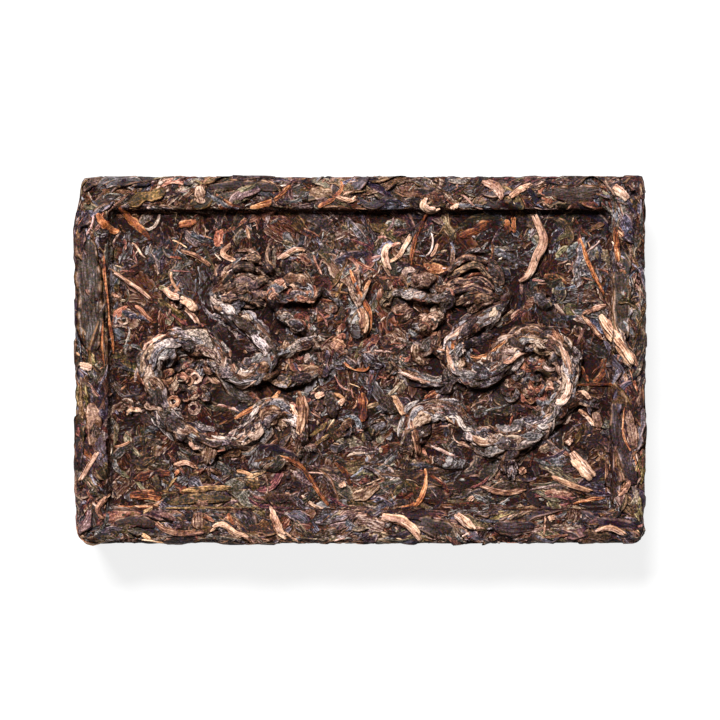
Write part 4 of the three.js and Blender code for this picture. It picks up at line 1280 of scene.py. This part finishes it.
def crossing_leaf(rng, path):
    """A leaf that lies across a leg, at some place along it."""
    line, _ = smooth_path(path, SPLIT_STEPS)
    middle = line[rng.integers(2, SPLIT_STEPS - 2)] + rng.normal(0, CROSSING_STRAY, 2)
    along = np.array(path[-1]) - np.array(path[0])
    angle = math.degrees(math.atan2(along[1], along[0])) + rng.uniform(-CROSSING_TURN, CROSSING_TURN)
    reach = heading(angle) * rng.uniform(*CROSSING_REACH)
    bend = heading(angle + 90) * rng.normal(0, CROSSING_BEND)
    return [middle - reach, middle + bend, middle + reach]


def body_strip(rng):
    """A strip along a dragon's body, and how far down the body's flank it lies, from 0 to 1."""
    spine, headings = ground().spine / MM, ground().spine_heading
    steps = int(rng.uniform(*STRIP_LENGTH) / SPINE_STEP)
    first = rng.integers(NAPE / SPINE_STEP, len(spine) - steps)
    points = np.linspace(first, first + steps - 1, STRIP_STEPS).astype(int)
    slant = rng.normal(0, STRIP_SLANT) * np.linspace(-1, 1, STRIP_STEPS)
    place = rng.uniform(-STRIP_REACH, STRIP_REACH)
    offset = place + slant + rng.normal(0, STRIP_STRAY, STRIP_STEPS)
    aside = np.stack([-headings[points][:, 1], headings[points][:, 0]], axis=1)
    return spine[points] + aside * (offset * BODY_HALF_WIDTH)[:, None], abs(place) / STRIP_REACH


def cut_up(rng, line, pieces):
    """A line cut into lengths that overlap a little."""
    path, _ = smooth_path(line, CUT_STEPS * pieces)
    lengths = []
    for start in range(0, CUT_STEPS * pieces, CUT_STEPS):
        first = max(start - rng.integers(0, CUT_OVERLAP), 0)
        lengths.append(path[first:start + CUT_STEPS + rng.integers(0, CUT_OVERLAP)])
    return lengths


def mane_rows(rng):
    """The ropes of both manes: whole on the right dragon, broken into lumps on the left one."""
    rows = []
    for line in MANE_LINES:
        bent = np.array(line) + rng.normal(0, ROPE_STRAY, np.shape(line))
        rows.append((bent, ROPE_HALF_WIDTH * rng.uniform(*ROPE_VARIETY), rng.uniform(*ROPE_TONES)))
        for lump in cut_up(rng, line, LUMPS):
            moved = (lump + rng.normal(0, LUMP_STRAY, 2)) * (-1, 1)
            rows.append((moved, LUMP_HALF_WIDTH * rng.uniform(*LUMP_VARIETY), rng.uniform(*LUMP_TONES)))
    return rows


def leg_lines(rng, path, toes):
    """The strands along a leg, the leaves across it and its toes, each with its half-width and look."""
    lines = []
    for _ in range(LEG_STRANDS):
        aside = rng.normal(0, LEG_SPREAD, 2)
        lines += [(length + aside, LEG_HALF_WIDTH, *LEG_LOOK) for length in cut_up(rng, path, 2)]
    for _ in range(LEG_LEAVES):
        lines.append((crossing_leaf(rng, path), rng.uniform(*CROSSING_HALF_WIDTH), *CROSSING_LOOK))
    foot = np.array(path[-1])
    for toe in toes:
        tip = foot + heading(toe + rng.normal(0, TOE_STRAY)) * TOE_LENGTH * rng.uniform(*TOE_VARIETY)
        lines.append(((foot, tip), TOE_HALF_WIDTH, *TOE_LOOK))
    return lines


def dragon_rows(rng, body_strips):
    """The strands of both dragons: head, legs, toes, curls, knots and the strips along the body."""
    rows = []
    for side in BOTH:
        lines = [(line, half_width, *HEAD_LOOK) for line, half_width in HEAD_LINES]
        lines.append((SNOUT_LEAF, SNOUT_HALF_WIDTH, *SNOUT_LOOK))
        for path, toes in LEGS:
            lines += leg_lines(rng, path, toes)
        if side in LEFT:
            lines += [(curl_line(*curl), CURL_HALF_WIDTH, *CURL_LOOK) for curl in CURLS]
        for cluster in KNOTS:
            for _ in range(cluster["number"] if side in cluster["sides"] else 0):
                lines.append((knot_line(rng, cluster), KNOT_HALF_WIDTH, *KNOT_LOOK))
        broad = rng.uniform(*BROAD_STRIP, body_strips // 3)
        narrow = rng.uniform(*NARROW_STRIP, body_strips * 2 // 3)
        (darkest, palest), mix = BODY_LOOK
        for half_width in np.concatenate([broad, narrow]):
            line, flank = body_strip(rng)
            # Painted shade, darker low on the flanks, so the body looks round
            painted_flank_shade = FLANK_PAINTED_SHADE * flank ** 2
            lines.append((line, half_width, (darkest - painted_flank_shade, palest - painted_flank_shade), mix))
        for line, half_width, tones, mix in lines:
            bent = np.array(line) + rng.normal(0, STRAND_STRAY, np.shape(line))
            kind = rng.choice(len(mix), p=mix)
            half_width = half_width * rng.uniform(*STRAND_VARIETY)
            rows.append((bent * (side, 1), half_width, rng.uniform(*tones), kind))
    rows += [(line, FLAME_HALF_WIDTH, rng.uniform(*FLAME_TONES), BROWN) for line in FLAME_LINES]
    for line in OVERLAID_LEAVES:
        rows.append((line, OVERLAID_HALF_WIDTH, rng.uniform(*OVERLAID_TONES), rng.integers(DARK, BROWN + 1)))
    return rows


# Operators

# The groups and pieces with random numbers of their own, so that one doesn't change another's scatter
STREAMS = (
    "blades", "dark_strands", "brown_strands", "rust_strands", "shown_rust", "stems", "dragons",
    "dark_shreds", "brown_shreds", "rust_shreds", "pale_shreds", "dark_flakes", "brown_flakes", "shown_gold",
)

# The core's finish: lumps by size and height, how often it is smoothed, and which level of the noise is flat
CORE_LUMPS = (3.0, 0.3 * MM)
CORE_CRUMB_SIZE = 0.9
CORE_SMOOTHING = 2
FLAT_LEVEL = 0.6

# The stage, in metres
FLOOR_HALF_SIZE = 3.0
KEY_PLACE = (-0.35, 0.85, 1.54)
KEY_SIZE = (0.56, 0.4)
SKY_COLOUR = (1.0, 0.95, 0.9, 1.0)
NEAREST_SEEN = 0.01
SENSOR_WIDTH = 36.0  # mm


def random_stream(settings, name):
    """The random numbers of one group or piece."""
    return np.random.default_rng([settings.seed, 1 + STREAMS.index(name)])


def add_piece(name, mesh, material):
    """Links a finished mesh as a piece that rides on the brick."""
    piece = bpy.data.objects.new(name, mesh)
    bpy.context.scene.collection.objects.link(piece)
    mesh.materials.clear()
    mesh.materials.append(material)
    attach(piece, BODY)
    return piece


def add_leaf(name, mesh, finish):
    """Links a mesh of leaf as a piece with that finish."""
    add_piece(name, mesh, leaf_material(finish))


def cloud(name, size_mm):
    """A soft noise whose lumps are about this size."""
    texture = bpy.data.textures.new(name, "CLOUDS")
    texture.noise_scale = size_mm * MM
    texture.noise_depth = 2
    return texture


def bake_modifiers(piece):
    """Replaces a piece's mesh by the one that its modifiers give."""
    depsgraph = bpy.context.evaluated_depsgraph_get()
    baked = bpy.data.meshes.new_from_object(piece.evaluated_get(depsgraph))
    piece.modifiers.clear()
    piece.data = baked


class TEA_OT_press_core(Operator):
    """Presses the core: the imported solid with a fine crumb, which everything else is laid on"""

    bl_idname = "tea.press_core"
    bl_label = "Press the core"

    def execute(self, context):
        settings = context.scene.tea_brick
        core = add_piece("tea_core", merged_cad_mesh("tea_core"), pressed_crumb_material())
        remesh = core.modifiers.new("grain", "REMESH")
        remesh.mode = "VOXEL"
        remesh.voxel_size = settings.grain
        remesh.use_smooth_shade = True
        smooth = core.modifiers.new("worn", "SMOOTH")
        smooth.factor = 0.5
        smooth.iterations = CORE_SMOOTHING
        for name, size_mm, height in (("lumps", *CORE_LUMPS), ("crumb", CORE_CRUMB_SIZE, settings.crumb)):
            displace = core.modifiers.new(name, "DISPLACE")
            displace.texture = cloud(name, size_mm)
            displace.texture_coords = "LOCAL"
            displace.strength = height
            displace.mid_level = FLAT_LEVEL
        bake_modifiers(core)
        triangles = sum(len(polygon.vertices) - 2 for polygon in core.data.polygons)
        thin = core.modifiers.new("thin", "DECIMATE")
        thin.ratio = min(1.0, settings.core_faces / triangles)
        bake_modifiers(core)
        places = np.empty(len(core.data.vertices) * 3)
        core.data.vertices.foreach_get("co", places)
        places = places.reshape(-1, 3)
        places[:, 2] = np.maximum(places[:, 2], CORE_BASE)
        core.data.vertices.foreach_set("co", places.ravel())
        # Painted shade and highlight of each place, and its tone by place, for the core's material
        painted_shade_and_tone = ground().painted_shading_and_tone(places)
        core.data.attributes.new("painted_shade_and_tone", "FLOAT", "POINT").data.foreach_set("value", painted_shade_and_tone)
        core.data.update()
        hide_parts(NODE)
        return {"FINISHED"}


class TEA_OT_lay_blades(Operator):
    """Lays the broad flat leaves: a scatter, and the large ones in plain view"""

    bl_idname = "tea.lay_blades"
    bl_label = "Lay the blades"

    def execute(self, context):
        settings = context.scene.tea_brick
        rng = random_stream(settings, "blades")
        for name, kind, count, finish in (
            ("dark_blades", BLADE, settings.blades // 2, "dark"),
            ("olive_blades", BLADE, settings.blades // 3, "olive"),
            ("red_blades", BLADE, settings.blades // 14, "rust"),
            ("dark_whole_leaves", WHOLE_LEAF, settings.whole_leaves, "slate"),
            ("brown_whole_leaves", WHOLE_LEAF, settings.whole_leaves, "umber"),
        ):
            add_leaf(name, scatter_mesh(name, rng, kind, count), finish)
        add_leaf("shown_blades", drawn_mesh("shown_blades", rng, SHOWN_BLADES, BLADE_CUT), "slate")
        brown = drawn_mesh("shown_brown_blades", rng, SHOWN_BROWN_BLADES, BLADE_CUT)
        add_leaf("shown_brown_blades", brown, "umber")
        return {"FINISHED"}


class TEA_OT_lay_strands(Operator):
    """Lays the twisted strands, dark, brown and rust, and the strips of bark and leaf in plain view"""

    bl_idname = "tea.lay_strands"
    bl_label = "Lay the strands"

    def execute(self, context):
        settings = context.scene.tea_brick
        for name, kind, count, finish in (
            ("dark_strands", STRAND, settings.dark_strands, "dark"),
            ("brown_strands", STRAND, settings.brown_strands, "brown"),
            ("rust_strands", STRIP, settings.rust_strands, "rust"),
        ):
            add_leaf(name, scatter_mesh(name, random_stream(settings, name), kind, count), finish)
        for name, rows, finish in (
            ("shown_rust", SHOWN_RUST, "orange"),
            ("shown_gold", SHOWN_GOLD, "golden"),
        ):
            add_leaf(name, drawn_mesh(name, random_stream(settings, name), rows, STRIP_CUT), finish)
        return {"FINISHED"}


class TEA_OT_lay_stems(Operator):
    """Lays the pale stems: a scatter of small ones, and the large ones in plain view"""

    bl_idname = "tea.lay_stems"
    bl_label = "Lay the stems"

    def execute(self, context):
        settings = context.scene.tea_brick
        rng = random_stream(settings, "stems")
        add_leaf("small_stems", scatter_mesh("small_stems", rng, STEM, settings.stems), "stem")
        strands = [strand for row in SHOWN_STEMS for strand in split(rng, row)]
        add_leaf("shown_stems", drawn_mesh("shown_stems", rng, strands, STEM_CUT), "stem")
        return {"FINISHED"}


class TEA_OT_lay_dragons(Operator):
    """Lays the strands that the dragons are drawn with, and the ropes of their manes"""

    bl_idname = "tea.lay_dragons"
    bl_label = "Lay the dragons"

    def execute(self, context):
        settings = context.scene.tea_brick
        rng = random_stream(settings, "dragons")
        rows = dragon_rows(rng, settings.body_strips)
        for number, (name, finish) in enumerate((
            ("dragon_dark_strands", "dark"),
            ("dragon_brown_strands", "brown"),
            ("dragon_pale_strands", "stem"),
            ("dragon_downy_strands", "downy"),
            ("dragon_rust_strands", "rust"),
        )):
            chosen = [row for row in rows if row[3] == number]
            add_leaf(name, drawn_mesh(name, rng, chosen, STRAND_CUT), finish)
        add_leaf("mane_ropes", drawn_mesh("mane_ropes", rng, mane_rows(rng), ROPE_CUT), "rope")
        return {"FINISHED"}


class TEA_OT_lay_shreds(Operator):
    """Lays the fine shreds and flakes: dark, brown, rust and pale"""

    bl_idname = "tea.lay_shreds"
    bl_label = "Lay the shreds"

    def execute(self, context):
        settings = context.scene.tea_brick
        for name, kind, count, finish in (
            ("dark_shreds", SHRED, settings.shreds, "dark"),
            ("brown_shreds", SHRED, settings.shreds, "brown"),
            ("rust_shreds", SHRED, settings.shreds * 3 // 10, "rust"),
            ("pale_shreds", SHRED, settings.shreds // 4, "stem"),
            ("dark_flakes", FLAKE, settings.flakes, "dark"),
            ("brown_flakes", FLAKE, settings.flakes, "brown"),
        ):
            add_leaf(name, scatter_mesh(name, random_stream(settings, name), kind, count), finish)
        return {"FINISHED"}


class TEA_OT_set_stage(Operator):
    """Sets the floor, the soft studio light and the camera straight above"""

    bl_idname = "tea.set_stage"
    bl_label = "Set the stage"

    def execute(self, context):
        settings = context.scene.tea_stage
        scene = context.scene
        shape = bmesh.new()
        bmesh.ops.create_grid(shape, x_segments=1, y_segments=1, size=FLOOR_HALF_SIZE)
        floor_mesh = bpy.data.meshes.new("floor")
        shape.to_mesh(floor_mesh)
        shape.free()
        floor = bpy.data.objects.new("floor", floor_mesh)
        floor_mesh.materials.append(floor_material(settings.floor_colour))
        scene.collection.objects.link(floor)

        world = bpy.data.worlds.new("studio")
        world.use_nodes = True
        world.node_tree.nodes["Background"].inputs["Color"].default_value = SKY_COLOUR
        world.node_tree.nodes["Background"].inputs["Strength"].default_value = settings.sky
        scene.world = world

        light = bpy.data.lights.new("key", "AREA")
        light.energy = settings.key_power
        light.shape = "RECTANGLE"
        light.size, light.size_y = KEY_SIZE
        key = bpy.data.objects.new("key", light)
        key.location = KEY_PLACE
        key.rotation_euler = (Vector((0, 0, 0)) - key.location).to_track_quat("-Z", "Y").to_euler()
        scene.collection.objects.link(key)

        lens = bpy.data.cameras.new("camera")
        lens.lens = settings.lens
        lens.sensor_width = SENSOR_WIDTH
        lens.clip_start = NEAREST_SEEN
        camera = bpy.data.objects.new("camera", lens)
        camera.location = (0, 0, RIM_TOP + settings.distance)
        scene.collection.objects.link(camera)
        scene.camera = camera
        scene.view_settings.view_transform = "Standard"
        return {"FINISHED"}


class TEA_PT_sidebar(Panel):
    """Lists the brick's settings and the steps that make it"""

    bl_idname = "TEA_PT_sidebar"
    bl_label = "Pressed Tea Brick"
    bl_space_type = "VIEW_3D"
    bl_region_type = "UI"
    bl_category = "Tea Brick"

    def draw(self, context):
        layout = self.layout
        for settings in (context.scene.tea_brick, context.scene.tea_stage):
            for name in settings.__annotations__:
                layout.prop(settings, name)
        for step in STEPS:
            layout.operator(step.bl_idname)


STEPS = (
    TEA_OT_press_core, TEA_OT_lay_blades, TEA_OT_lay_strands, TEA_OT_lay_stems, TEA_OT_lay_dragons,
    TEA_OT_lay_shreds, TEA_OT_set_stage,
)
CLASSES = (TeaSettings, StageSettings, *STEPS, TEA_PT_sidebar)


def register():
    """Makes the settings, the steps and the sidebar known to Blender."""
    for cls in CLASSES:
        bpy.utils.register_class(cls)
    bpy.types.Scene.tea_brick = PointerProperty(type=TeaSettings)
    bpy.types.Scene.tea_stage = PointerProperty(type=StageSettings)


def unregister():
    """Takes them away again."""
    del bpy.types.Scene.tea_stage
    del bpy.types.Scene.tea_brick
    for cls in reversed(CLASSES):
        bpy.utils.unregister_class(cls)


def main():
    """Makes the brick and its stage."""
    register()
    bpy.ops.tea.press_core()
    bpy.ops.tea.lay_blades()
    bpy.ops.tea.lay_strands()
    bpy.ops.tea.lay_stems()
    bpy.ops.tea.lay_dragons()
    bpy.ops.tea.lay_shreds()
    bpy.ops.tea.set_stage()


if __name__ == "__main__":
    main()
